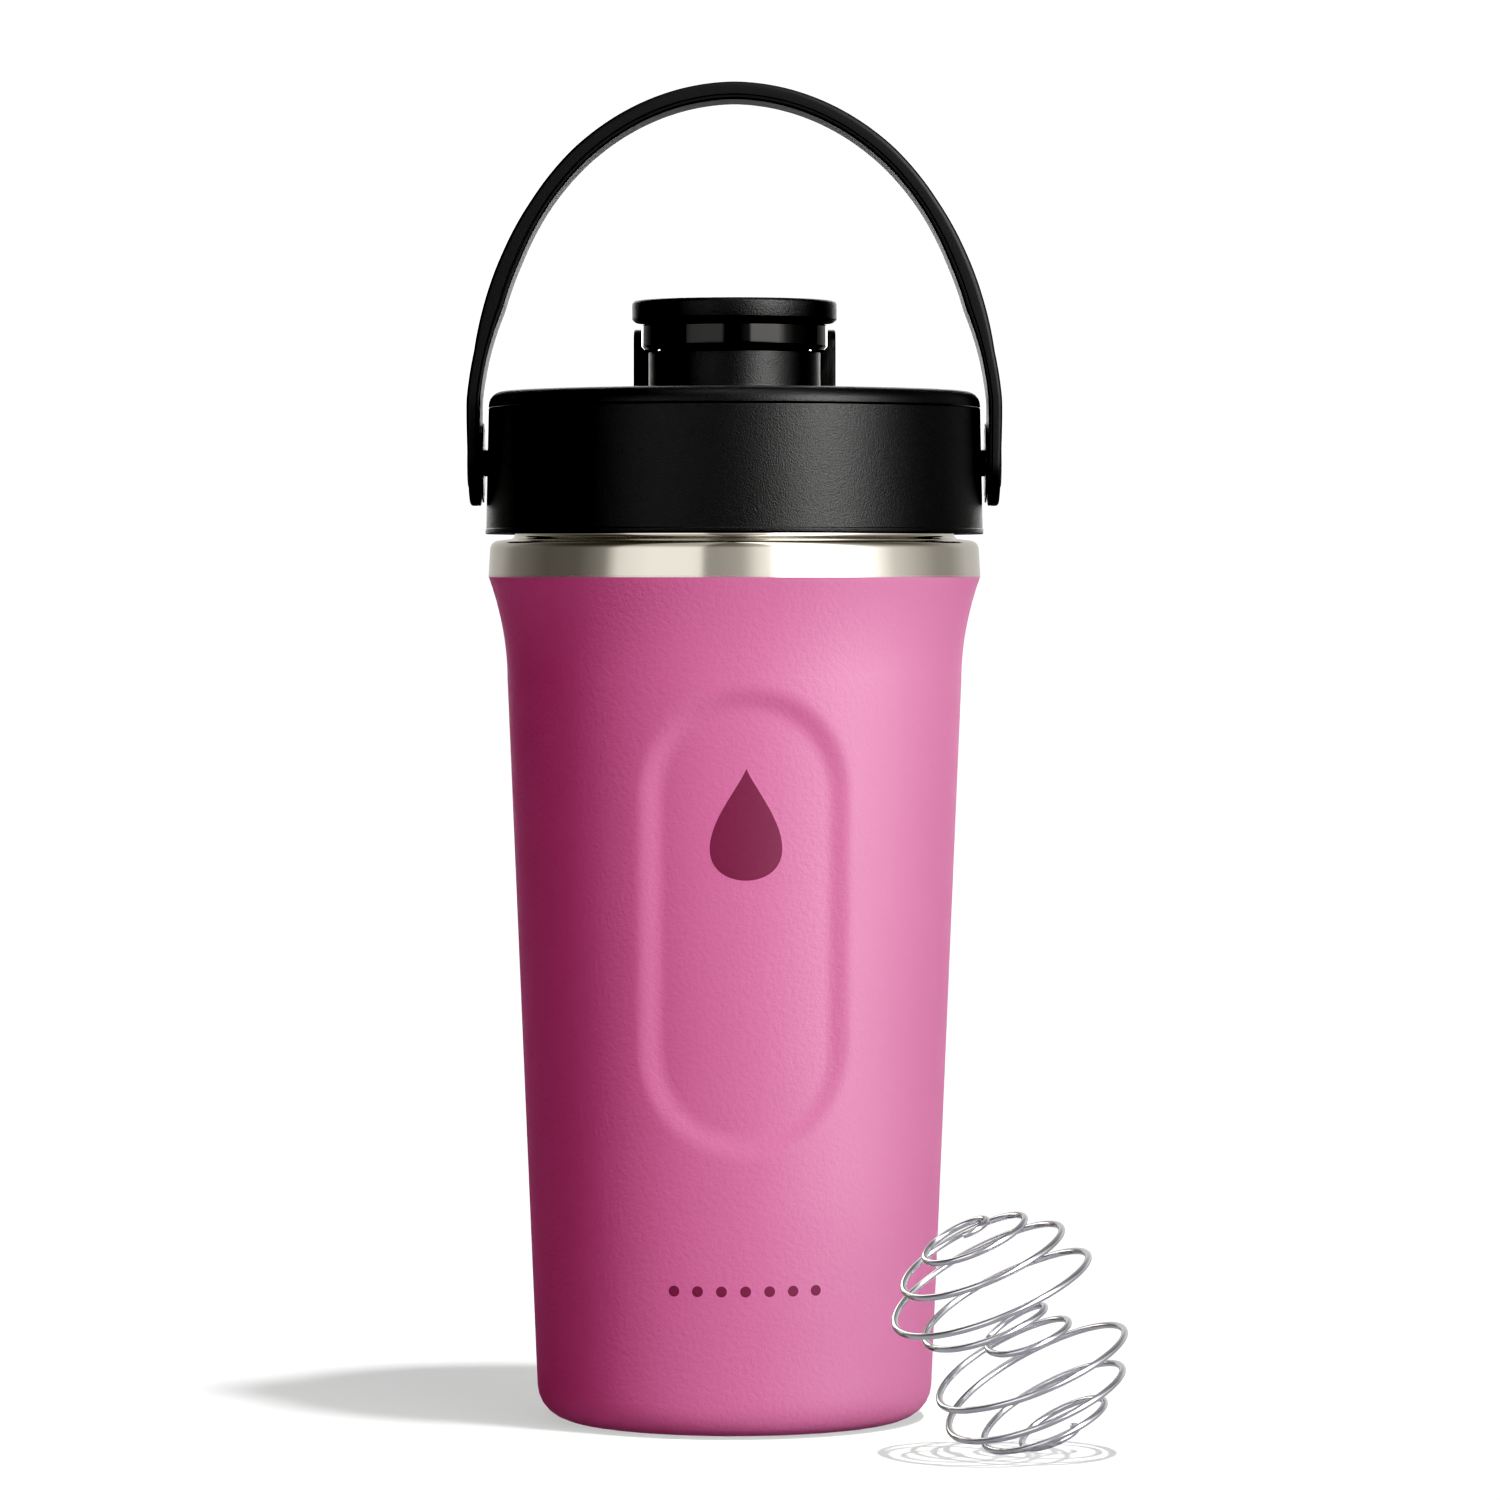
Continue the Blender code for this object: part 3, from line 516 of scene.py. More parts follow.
def end_tree(tree, inputs, geometry):
    """Ends a tree: instances become real, and the result gets the finish."""
    real = add(tree, "GeometryNodeRealizeInstances", {"Geometry": geometry})
    done = add(tree, "GeometryNodeSetMaterial", {"Geometry": real, "Material": inputs["Finish"]})
    add(tree, "NodeGroupOutput", {"Geometry": done})


def run_tree(tree, finish, mesh=None, **sizes):
    """Runs a tree on a mesh, or on nothing, with these sizes, and returns the result as a plain mesh."""
    obj = link(tree.name, mesh or bpy.data.meshes.new("nothing"))
    modifier = obj.modifiers.new(tree.name, "NODES")
    modifier.node_group = tree
    for item in tree.interface.items_tree:
        if item.name == "Finish":
            modifier[item.identifier] = finish
        elif item.name in sizes and item.in_out == "INPUT":
            modifier[item.identifier] = sizes[item.name]
    return plain_mesh(obj)


# %% [markdown]
# ## The painted shell
#
# The outer wall is a steel tube that tapers to the foot and flares at the shoulder, with a long shallow well
# pressed into the front and the back for the fingers. A turned outline gives the tube, with rows of faces a
# millimetre apart where the wells will bend it. A geometry tree then presses the wells: for each point it
# works out how far the point is from the well's middle line, measured round the wall, and moves it inwards by
# an amount that falls off smoothly.

# %% Outline of the shell
_, shell_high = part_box("outer_shell")
SHELL_TOP = shell_high.z / MM
SHELL_TOP_R = 46.0
TAPER_FOOT = (36.9, 6.5)
TAPER_HEAD = (42.4, 138.0)
FLARE_POWER = 1.95
SHELL_WALL = 0.6
WELL_ZONE = (48.0, 141.0)
COARSER = 1.6

def wall_radius(z):
    """Outer radius of the wall at a height, in millimetres."""
    (foot_r, foot_z), (head_r, head_z) = TAPER_FOOT, TAPER_HEAD
    if z <= head_z:
        return foot_r + (head_r - foot_r) * (z - foot_z) / (head_z - foot_z)
    return head_r + (SHELL_TOP_R - head_r) * ((z - head_z) / (SHELL_TOP - head_z)) ** FLARE_POWER


def heights(step):
    """Heights up the wall: this far apart in the well zone, and a bit farther outside it."""
    rows, z = [], 9.0
    while z < SHELL_TOP - 1.0:
        rows.append(z)
        z += step if WELL_ZONE[0] < z < WELL_ZONE[1] else COARSER * step
    return rows


outside = [(wall_radius(z), z) for z in reversed(heights(1.0))]
inside = [(wall_radius(z) - SHELL_WALL, z) for z in heights(2.0)]
foot = [(wall_radius(0.0), 0.0, 6.4), (28.0, 0.0, 0.4), (28.0, 1.3), (28.6, 1.3)]
foot += [(29.1, SHELL_WALL), (wall_radius(0.0) - SHELL_WALL, SHELL_WALL, 5.8)]
rim = [(SHELL_TOP_R - SHELL_WALL, SHELL_TOP), (SHELL_TOP_R, SHELL_TOP, 0.2)]
shell_outline = rim + outside + foot + inside
print(len(shell_outline), "corners in the shell's outline")

# %% A tree that presses the grip wells
well_tree, given = start_tree(
    "press_grip_wells", Depth=0.0015, Middle=0.0943, Half_Straight=0.0228,
    Floor_Radius=0.0157, Edge_Radius=0.0206, Turn=0.0,
)
place = add(well_tree, "GeometryNodeInputPosition")
back_turn = add(well_tree, "ShaderNodeMath", {0: given["Turn"], 1: -1.0}, operation="MULTIPLY")
faced = add(well_tree, "ShaderNodeVectorRotate", {
    "Vector": place, "Angle": back_turn,
}, rotation_type="Z_AXIS")
parts = add(well_tree, "ShaderNodeSeparateXYZ", {0: faced}).outputs
across = add(well_tree, "ShaderNodeVectorMath", {0: place, 1: (1.0, 1.0, 0.0)}, operation="MULTIPLY")
radius = add(well_tree, "ShaderNodeVectorMath", {0: across}, operation="LENGTH").outputs["Value"]
side = add(well_tree, "ShaderNodeMath", {0: parts["X"]}, operation="ABSOLUTE")
front = add(well_tree, "ShaderNodeMath", {0: parts["Y"]}, operation="ABSOLUTE")
angle = add(well_tree, "ShaderNodeMath", {0: side, 1: front}, operation="ARCTAN2")
around = add(well_tree, "ShaderNodeMath", {0: angle, 1: radius}, operation="MULTIPLY")
rise = add(well_tree, "ShaderNodeMath", {0: parts["Z"], 1: given["Middle"]}, operation="SUBTRACT")
rise = add(well_tree, "ShaderNodeMath", {0: rise}, operation="ABSOLUTE")
past = add(well_tree, "ShaderNodeMath", {0: rise, 1: given["Half_Straight"]}, operation="SUBTRACT")
past = add(well_tree, "ShaderNodeMath", {0: past, 1: 0.0}, operation="MAXIMUM")
offset = add(well_tree, "ShaderNodeCombineXYZ", {"X": around, "Y": past})
away = add(well_tree, "ShaderNodeVectorMath", {0: offset}, operation="LENGTH").outputs["Value"]
press = add(well_tree, "ShaderNodeMapRange", {
    "Value": away, "From Min": given["Floor_Radius"], "From Max": given["Edge_Radius"],
    "To Min": given["Depth"], "To Max": 0.0,
}, interpolation_type="SMOOTHSTEP")
left = add(well_tree, "ShaderNodeMath", {0: radius, 1: press}, operation="SUBTRACT")
share = add(well_tree, "ShaderNodeMath", {0: left, 1: radius}, operation="DIVIDE")
shrink = add(well_tree, "ShaderNodeCombineXYZ", {"X": share, "Y": share, "Z": 1.0})
pressed = add(well_tree, "ShaderNodeVectorMath", {0: place, 1: shrink}, operation="MULTIPLY")
moved = add(well_tree, "GeometryNodeSetPosition", {"Geometry": given["Geometry"], "Position": pressed})
end_tree(well_tree, given, moved)
print(len(well_tree.nodes), "nodes press the wells")

# %% Press the wells and finish the shell
WELL_DEPTH = 1.5
WELL_TURN = math.radians(3.2)

shell = run_tree(
    well_tree, powder_coat, turned(shell_outline, steps=320), Depth=WELL_DEPTH * MM, Turn=WELL_TURN
)
finish_piece("painted_shell", shell, powder_coat, "bottle", "powder_coat", "outer_shell")

# %% [markdown]
# ## Two printed marks
#
# A plain drop of water sits in the front well, and a row of small dots runs round the wall near the foot.
# They are ink, so thin that you could not feel them, but we make them as real slivers that stand a few
# hundredths of a millimetre proud. Each is drawn flat first and then wrapped: the distance sideways becomes
# an angle round the wall, and the wall's radius at that height gives the depth.

# %% The drop
INK = 0.03
DROP_MIDDLE = 112.3
DROP_HALF_WIDTH = 6.6
DROP_HALF_HEIGHT = 10.2
FULLEST_SWELL = 0.70  # the widest that the drop's outline gets before it is scaled
DROP_RINGS = 14
DROP_SIDES = 96

def wrapped(x, z, proud):
    """A point on the floor of the front well: x round the wall, z up it, and how far it stands proud."""
    radius = wall_radius(z) - WELL_DEPTH + proud
    angle = x / radius + WELL_TURN
    return Vector((radius * math.sin(angle), -radius * math.cos(angle), z)) * MM


def drop_edge(angle):
    """A drop's outline about its middle: a half circle below that draws up to a point."""
    swell = math.sin(angle) * math.sin(angle / 2) ** 1.5
    return Vector((DROP_HALF_WIDTH * swell / FULLEST_SWELL, DROP_HALF_HEIGHT * math.cos(angle)))


work = bmesh.new()
layers = []
for proud in (-INK, INK):
    middle = work.verts.new(wrapped(0.0, DROP_MIDDLE, proud))
    rings = []
    for k in range(1, DROP_RINGS + 1):
        flat = [drop_edge(2 * math.pi * i / DROP_SIDES) * k / DROP_RINGS for i in range(DROP_SIDES)]
        rings.append([work.verts.new(wrapped(p.x, DROP_MIDDLE + p.y, proud)) for p in flat])
    for i in range(DROP_SIDES):
        j = (i + 1) % DROP_SIDES
        work.faces.new((middle, rings[0][i], rings[0][j]))
        for low, high in zip(rings, rings[1:]):
            work.faces.new((low[i], high[i], high[j], low[j]))
    layers.append(rings[-1])
for i in range(DROP_SIDES):
    j = (i + 1) % DROP_SIDES
    work.faces.new((layers[0][i], layers[0][j], layers[1][j], layers[1][i]))
bmesh.ops.recalc_face_normals(work, faces=work.faces)
drop = bpy.data.meshes.new("drop")
work.to_mesh(drop)
work.free()
finish_piece("printed_drop", drop, plum_ink, "bottle", "powder_coat")

# %% A tree for the row of dots
dot_tree, given = start_tree(
    "row_of_dots", Count=7.0, Spacing=0.0044, Dot_Radius=0.001, Wall_Radius=0.038, Height=0.027,
    Lean=0.0, Thickness=0.00006, Turn=0.0,
)
gaps = add(dot_tree, "ShaderNodeMath", {0: given["Count"], 1: -1.0}, operation="ADD")
length = add(dot_tree, "ShaderNodeMath", {0: gaps, 1: given["Spacing"]}, operation="MULTIPLY")
half = add(dot_tree, "ShaderNodeMath", {0: length, 1: -0.5}, operation="MULTIPLY")
first = add(dot_tree, "ShaderNodeCombineXYZ", {"X": half})
step = add(dot_tree, "ShaderNodeCombineXYZ", {"X": given["Spacing"]})
count = add(dot_tree, "FunctionNodeFloatToInt", {0: given["Count"]})
row = add(dot_tree, "GeometryNodeMeshLine", {"Count": count, "Start Location": first, "Offset": step})
dot = add(dot_tree, "GeometryNodeMeshCylinder", {
    "Vertices": 28, "Side Segments": 1, "Fill Segments": 4,
    "Radius": given["Dot_Radius"], "Depth": given["Thickness"],
}, fill_type="TRIANGLE_FAN")
dots = add(dot_tree, "GeometryNodeInstanceOnPoints", {"Points": row, "Instance": dot.outputs["Mesh"]})
solid = add(dot_tree, "GeometryNodeRealizeInstances", {"Geometry": dots})
place = add(dot_tree, "GeometryNodeInputPosition")
flat = add(dot_tree, "ShaderNodeSeparateXYZ", {0: place}).outputs
lean = add(dot_tree, "ShaderNodeMath", {0: flat["Y"], 1: given["Lean"]}, operation="MULTIPLY")
radius = add(dot_tree, "ShaderNodeMath", {0: given["Wall_Radius"], 1: lean}, operation="ADD")
radius = add(dot_tree, "ShaderNodeMath", {0: radius, 1: flat["Z"]}, operation="ADD")
angle = add(dot_tree, "ShaderNodeMath", {0: flat["X"], 1: radius}, operation="DIVIDE")
angle = add(dot_tree, "ShaderNodeMath", {0: angle, 1: given["Turn"]}, operation="ADD")
sine = add(dot_tree, "ShaderNodeMath", {0: angle}, operation="SINE")
cosine = add(dot_tree, "ShaderNodeMath", {0: angle}, operation="COSINE")
x = add(dot_tree, "ShaderNodeMath", {0: radius, 1: sine}, operation="MULTIPLY")
y = add(dot_tree, "ShaderNodeMath", {0: radius, 1: cosine}, operation="MULTIPLY")
y = add(dot_tree, "ShaderNodeMath", {0: y, 1: -1.0}, operation="MULTIPLY")
z = add(dot_tree, "ShaderNodeMath", {0: flat["Y"], 1: given["Height"]}, operation="ADD")
round_wall = add(dot_tree, "ShaderNodeCombineXYZ", {"X": x, "Y": y, "Z": z})
bent = add(dot_tree, "GeometryNodeSetPosition", {"Geometry": solid, "Position": round_wall})
end_tree(dot_tree, given, bent)

DOT_ROW_HEIGHT = 27.2
taper_slope = (TAPER_HEAD[0] - TAPER_FOOT[0]) / (TAPER_HEAD[1] - TAPER_FOOT[1])
dots = run_tree(
    dot_tree, plum_ink, Wall_Radius=wall_radius(DOT_ROW_HEIGHT) * MM, Height=DOT_ROW_HEIGHT * MM,
    Lean=taper_slope, Turn=WELL_TURN,
)
finish_piece("printed_dots", dots, plum_ink, "bottle", "powder_coat")

# %% [markdown]
# ## The screw thread
#
# The lid screws on a two-start thread: two ridges wind side by side, so that a turn or two frees the
# lid. The ridge is rolled into the neck and moulded into the lid, and at each end it fades into the wall. A
# tree bends a line of points into a helix, sweeps a trapezoid along it, shrinks the sweep at both ends, and
# makes the second start by turning the first half round. One tree serves the neck and the lid; for the lid
# the trapezoid points inwards.

# %% A tree for screw threads
THREAD_POINTS = 220
RUN_OUT = 0.1
RUN_OUT_SIZE = 0.2

thread_tree, given = start_tree(
    "screw_thread", Root_Radius=0.0407, Lead=0.008, Turns=0.95, Foot=0.1705,
    Root_Width=0.0022, Crest_Width=0.0009, Ridge=0.0013,
)
line = add(thread_tree, "GeometryNodeMeshLine", {"Count": THREAD_POINTS})
index = add(thread_tree, "GeometryNodeInputIndex")
share = add(thread_tree, "ShaderNodeMath", {0: index, 1: THREAD_POINTS - 1.0}, operation="DIVIDE")
turns = add(thread_tree, "ShaderNodeMath", {0: share, 1: given["Turns"]}, operation="MULTIPLY")
angle = add(thread_tree, "ShaderNodeMath", {0: turns, 1: 2 * math.pi}, operation="MULTIPLY")
sine = add(thread_tree, "ShaderNodeMath", {0: angle}, operation="SINE")
cosine = add(thread_tree, "ShaderNodeMath", {0: angle}, operation="COSINE")
x = add(thread_tree, "ShaderNodeMath", {0: cosine, 1: given["Root_Radius"]}, operation="MULTIPLY")
y = add(thread_tree, "ShaderNodeMath", {0: sine, 1: given["Root_Radius"]}, operation="MULTIPLY")
z = add(thread_tree, "ShaderNodeMath", {
    0: turns, 1: given["Lead"], 2: given["Foot"],
}, operation="MULTIPLY_ADD")
helix = add(thread_tree, "ShaderNodeCombineXYZ", {"X": x, "Y": y, "Z": z})
bent = add(thread_tree, "GeometryNodeSetPosition", {"Geometry": line, "Position": helix})
curve = add(thread_tree, "GeometryNodeMeshToCurve", {"Mesh": bent})
curve = add(thread_tree, "GeometryNodeSetCurveNormal", {"Curve": curve}, mode="Z_UP")
half_root = add(thread_tree, "ShaderNodeMath", {0: given["Root_Width"], 1: 0.5}, operation="MULTIPLY")
half_crest = add(thread_tree, "ShaderNodeMath", {0: given["Crest_Width"], 1: 0.5}, operation="MULTIPLY")
minus_root = add(thread_tree, "ShaderNodeMath", {0: half_root, 1: -1.0}, operation="MULTIPLY")
minus_crest = add(thread_tree, "ShaderNodeMath", {0: half_crest, 1: -1.0}, operation="MULTIPLY")
section = add(thread_tree, "GeometryNodeCurvePrimitiveQuadrilateral", {
    "Point 1": add(thread_tree, "ShaderNodeCombineXYZ", {"Y": minus_root}),
    "Point 2": add(thread_tree, "ShaderNodeCombineXYZ", {"X": given["Ridge"], "Y": minus_crest}),
    "Point 3": add(thread_tree, "ShaderNodeCombineXYZ", {"X": given["Ridge"], "Y": half_crest}),
    "Point 4": add(thread_tree, "ShaderNodeCombineXYZ", {"Y": half_root}),
}, mode="POINTS")
other_end = add(thread_tree, "ShaderNodeMath", {0: 1.0, 1: share}, operation="SUBTRACT")
nearest = add(thread_tree, "ShaderNodeMath", {0: share, 1: other_end}, operation="MINIMUM")
fade = add(thread_tree, "ShaderNodeMapRange", {
    "Value": nearest, "From Max": RUN_OUT, "To Min": RUN_OUT_SIZE, "To Max": 1.0,
}, interpolation_type="SMOOTHSTEP")
ridge = add(thread_tree, "GeometryNodeCurveToMesh", {
    "Curve": curve, "Profile Curve": section, "Scale": fade, "Fill Caps": True,
})
starts = add(thread_tree, "GeometryNodeMeshLine", {"Count": 2, "Offset": (0.0, 0.0, 0.0)})
half_turn = add(thread_tree, "ShaderNodeMath", {0: index, 1: math.pi}, operation="MULTIPLY")
turned_by = add(thread_tree, "ShaderNodeCombineXYZ", {"Z": half_turn})
both = add(thread_tree, "GeometryNodeInstanceOnPoints", {
    "Points": starts, "Instance": ridge,
    "Rotation": add(thread_tree, "FunctionNodeEulerToRotation", {0: turned_by}),
})
end_tree(thread_tree, given, both)

neck_thread = run_tree(thread_tree, polished_steel)
spread = [math.hypot(v.co.x, v.co.y) / MM for v in neck_thread.vertices]
print(f"neck thread from radius {min(spread):.2f} to {max(spread):.2f} mm")

# %% [markdown]
# ## The neck and the cup
#
# Above the paint the steel is bare: a collar as wide as the paint, a rounded shoulder, and the threaded neck
# that goes up into the lid. The collar was under a mask when the shell was sprayed, so it starts just inside
# the paint's edge. Inside stands the cup, a second steel vessel, whose rim is rolled out over the neck. The
# space between the two walls holds nothing, and that is what keeps the drink cold.

# %% Steel neck and cup
_, neck_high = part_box("neck_ring")
NECK_R = 41.0
COLLAR_R = 45.93
NECK_TOP = neck_high.z / MM

neck = turned([
    (NECK_R - 0.3, NECK_TOP), (NECK_R, NECK_TOP - 0.3), (NECK_R, 164.3, 0.9), (45.55, 163.75, 1.7),
    (COLLAR_R, SHELL_TOP - 0.4), (44.7, SHELL_TOP - 0.4), (44.5, 155.8), (43.9, 155.8), (44.0, 158.4),
    (45.0, 159.4, 0.5), (45.0, 161.4, 0.5), (43.2, 163.1), (40.9, 163.3), (39.95, 164.4), (39.95, NECK_TOP),
], steps=256)
neck = combined(neck, [("UNION", neck_thread)])
finish_piece("steel_neck", neck, polished_steel, "bottle", "bare_steel", "neck_ring")

cup_low, cup_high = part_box("inner_liner")
MOUTH = cup_high.z / MM
CUP_FLOOR = cup_low.z / MM
cup = turned([
    (0, CUP_FLOOR + 0.5), (33.5, CUP_FLOOR + 0.5, 4.5), (39.0, 138.0, 20.0), (39.0, MOUTH, 0.45),
    (40.9, MOUTH, 0.35), (40.9, MOUTH - 0.95), (39.5, MOUTH - 0.95), (39.5, 138.0, 20.0),
    (34.0, CUP_FLOOR, 5.0), (0, CUP_FLOOR),
])
finish_piece("steel_cup", cup, polished_steel, "bottle", "bare_steel", "inner_liner")

# %% [markdown]
# ## Under the base
#
# A flat steel cover closes the foot. The parts above it, which make and keep the vacuum, are right as the
# engineering model has them, so they only get their finishes.

# %% Base
cover = turned([(0, 1.35), (27.6, 1.35, 0.15), (27.6, 0.8, 0.2), (20.0, 0.8), (19.6, 0.95), (0, 0.95)])
finish_piece("base_disc", cover, rolled_steel, "bottle", "bare_steel", "base_cover")

hidden_finishes = {
    "base_plate": rolled_steel, "getter_bracket": rolled_steel, "vacuum_port_seal": solder,
    "getter_pill": sinter,
}
for node, finish in hidden_finishes.items():
    frame["nodes"][node].data.materials.clear()
    frame["nodes"][node].data.materials.append(finish)
print("finished as they are:", ", ".join(hidden_finishes))

# %% [markdown]
# ## The lid
#
# The lid is five pieces: an outer ring that the hand turns, an inner ring with the thread, a crown that
# carries the spout and the hinge's posts, a glossy lip on the spout, and a silicone seal that closes on the
# mouth. The ring has a thin bead round its foot, and a hair-thin seam parts it from the crown.

# %% Rings and seal
ring_low, ring_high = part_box("lid_skirt")
RING_FOOT = ring_low.z / MM
RING_TOP = ring_high.z / MM
PIVOT = 178.4
STUD_HOLE_R = 2.8
THREAD_SINK = 0.35
THREAD_RIDGE = 1.55

ring = turned([
    (45.6, RING_TOP), (45.85, RING_TOP, 0.15), (46.35, RING_FOOT + 1.1, 0.1), (46.5, RING_FOOT + 0.9, 0.1),
    (46.5, RING_FOOT, 0.3), (44.2, RING_FOOT, 0.2), (44.2, RING_TOP),
], steps=256)
stud_holes = [rod(STUD_HOLE_R, *ends, 0.0, PIVOT) for ends in ((43.0, 48.0), (-48.0, -43.0))]
ring = combined(ring, [("DIFFERENCE", hole) for hole in stud_holes])
finish_piece("lid_ring", ring, spark_black, "lid", "lid_plastic", "lid_skirt")

LINER_BORE_R = 42.6
liner = turned([
    (43.9, 187.9, 0.2), (43.9, 166.0, 0.3), (LINER_BORE_R, 166.0, 0.3), (LINER_BORE_R, 187.9),
], steps=256)
lid_thread = run_tree(
    thread_tree, spark_black, Root_Radius=(LINER_BORE_R + THREAD_SINK) * MM, Ridge=-THREAD_RIDGE * MM,
    Foot=172.5 * MM,
)
liner = combined(liner, [("UNION", lid_thread)])
finish_piece("lid_inner_ring", liner, spark_black, "lid", "lid_plastic", "lid_liner")

seal_low, seal_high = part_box("mouth_gasket")
low, high = seal_low.z / MM, seal_high.z / MM
seal = turned([(41.2, high, 0.3), (41.2, low, 0.3), (37.0, low, 0.3), (37.0, high, 0.3)])
finish_piece("lid_seal", seal, grey_silicone, "mouth_seal", "silicone", "mouth_gasket")

# %% Crown with the spout's neck and the hinge's posts
crown_low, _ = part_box("lid_top")
CROWN_FOOT = crown_low.z / MM
CROWN_TOP = 191.7
CROWN_R = 45.85
SPOUT_MIDDLE = (0.0, -3.0)
SPOUT_R = 16.0
SPOUT_BORE_R = 13.3
SPOUT_TOP = 199.0
HINGE_Y = 20.0
HINGE_Z = 201.0
POST_R = 3.0
ROOT = 190.4  # inside the crown, where the spout and the posts start
PIN_HOLE_R = 1.25

crown = turned([
    (0, CROWN_TOP), (CROWN_R, CROWN_TOP, 2.7), (CROWN_R, 188.75, 0.06), (43.9, 188.75), (43.6, CROWN_FOOT),
    (0, CROWN_FOOT),
], steps=256)
spout = turned([
    (0, SPOUT_TOP), (SPOUT_R, SPOUT_TOP, 0.3), (SPOUT_R, CROWN_TOP - 0.05, 1.1), (18.6, CROWN_TOP - 0.1),
    (18.6, ROOT), (0, ROOT),
], centre=SPOUT_MIDDLE)
steps = [("UNION", spout)]
for inner, outer in ((14.5, 19.1), (-19.1, -14.5)):
    post = [(HINGE_Y + POST_R + 0.5, ROOT), (HINGE_Y + POST_R, HINGE_Z + POST_R, POST_R - 0.05)]
    post += [(HINGE_Y - POST_R, HINGE_Z + POST_R, POST_R - 0.05), (HINGE_Y - POST_R - 0.5, ROOT)]
    steps.append(("UNION", plate(post, inner, outer, edge=0.4)))
steps.append(("DIFFERENCE", turned(
    [(0, 202), (SPOUT_BORE_R, 202), (SPOUT_BORE_R, 186), (0, 186)], centre=SPOUT_MIDDLE
)))
steps.append(("DIFFERENCE", rod(PIN_HOLE_R, -22.0, 22.0, HINGE_Y, HINGE_Z)))
finish_piece("lid_crown", combined(crown, steps), spark_black, "lid", "lid_plastic", "lid_top")

# %% Lip and hinge pin
lip_low, lip_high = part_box("spout_lip")
low, high = lip_low.z / MM, lip_high.z / MM
lip = turned([
    (17.3, high, 0.35), (17.3, low + 0.7, 0.5), (16.7, low, 0.2), (13.5, low, 0.2), (13.5, high, 0.5),
], steps=256, centre=SPOUT_MIDDLE)
finish_piece("pouring_lip", lip, gloss_black, "lid", "lip_plastic", "spout_lip")

pin = rod(1.0, -18.8, 18.8, HINGE_Y, HINGE_Z, edge=0.2)
finish_piece("cap_pin", pin, rolled_steel, "lid", "bare_steel", "hinge_pin")

# %% [markdown]
# ## The flip cap
#
# The cap is a thick disc with a knuckle behind it that sits between the posts. Under it hangs a silicone plug
# that stops the spout. When the cap swings back, the disc, the knuckle and the plug go together.

# %% Cap and plug
_, cap_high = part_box("flip_cap")
CAP_TOP = cap_high.z / MM
CAP_R = 19.07
CAP_FOOT = 204.4
KNUCKLE_R = 2.7

cap = turned([
    (0, CAP_TOP - 0.5), (15.6, CAP_TOP - 0.5, 1.0), (16.6, CAP_TOP, 0.5), (CAP_R, CAP_TOP, 0.8),
    (CAP_R, 205.0, 0.4), (18.4, CAP_FOOT, 0.2), (0, CAP_FOOT),
], steps=256, centre=SPOUT_MIDDLE)
knuckle = [(10.0, CAP_FOOT + 0.3), (16.2, CAP_FOOT + 0.3, 0.8), (HINGE_Y - KNUCKLE_R, 203.0, 0.5)]
knuckle += [(HINGE_Y - KNUCKLE_R, HINGE_Z - KNUCKLE_R, KNUCKLE_R - 0.05)]
knuckle += [(HINGE_Y + KNUCKLE_R, HINGE_Z - KNUCKLE_R, KNUCKLE_R - 0.05)]
knuckle += [(HINGE_Y + KNUCKLE_R, 207.2, 2.4), (10.0, CAP_TOP - 0.9)]
cap = combined(cap, [
    ("UNION", plate(knuckle, -14.1, 14.1, edge=0.4)),
    ("DIFFERENCE", rod(PIN_HOLE_R, -22.0, 22.0, HINGE_Y, HINGE_Z)),
])
finish_piece("flip_lid", cap, spark_black, "flip_cap", "lid_plastic", "flip_cap")

plug = turned([
    (0, 204.1), (12.9, 204.1), (12.9, 203.0), (12.5, 202.4, 0.3), (12.9, 201.8, 0.3), (12.5, 200.9, 0.3),
    (11.8, 200.0, 0.5), (0, 200.0),
], centre=SPOUT_MIDDLE)
finish_piece("cap_plug", plug, grey_silicone, "flip_cap", "silicone", "spout_plug")

# %% [markdown]
# ## The carry strap
#
# The strap is one band of rubber with round ends, about 16 mm wide, bent into half an oval. It is 2.5 mm
# thick beside the lid, a little less at its tips, and up to 3.7 mm over the arch, where the hand pulls on it.
# We build it in its own flat coordinates: along the band, across it, and through its thickness. Each layer of
# thickness is the same long stadium, drawn in a little where an edge is rounded or where the parting line of
# the mould leaves a fine groove. Then every point is carried to the arch.

# %% The route of the band
_, band_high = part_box("strap_band")
BAND_HALF = 8.0
BAND_X = 47.25
ARCH_FOOT = 189.8
ARCH_HEIGHT = 56.7
BAND_THICK = 2.5
ROUTE_STEP = 1.2
ARCH_STEPS = 400

straight = ARCH_FOOT - (PIVOT - BAND_HALF)
quarter = [i / ARCH_STEPS * math.pi / 2 for i in range(ARCH_STEPS + 1)]
arch = [Vector((BAND_X * math.cos(a), ARCH_FOOT + ARCH_HEIGHT * math.sin(a))) for a in quarter]
walked = [straight]
for a, b in zip(arch, arch[1:]):
    walked.append(walked[-1] + (b - a).length)
HALF_LENGTH = walked[-1]
print(f"the band is {2 * HALF_LENGTH:.0f} mm long and rises to {band_high.z / MM:.0f} mm")


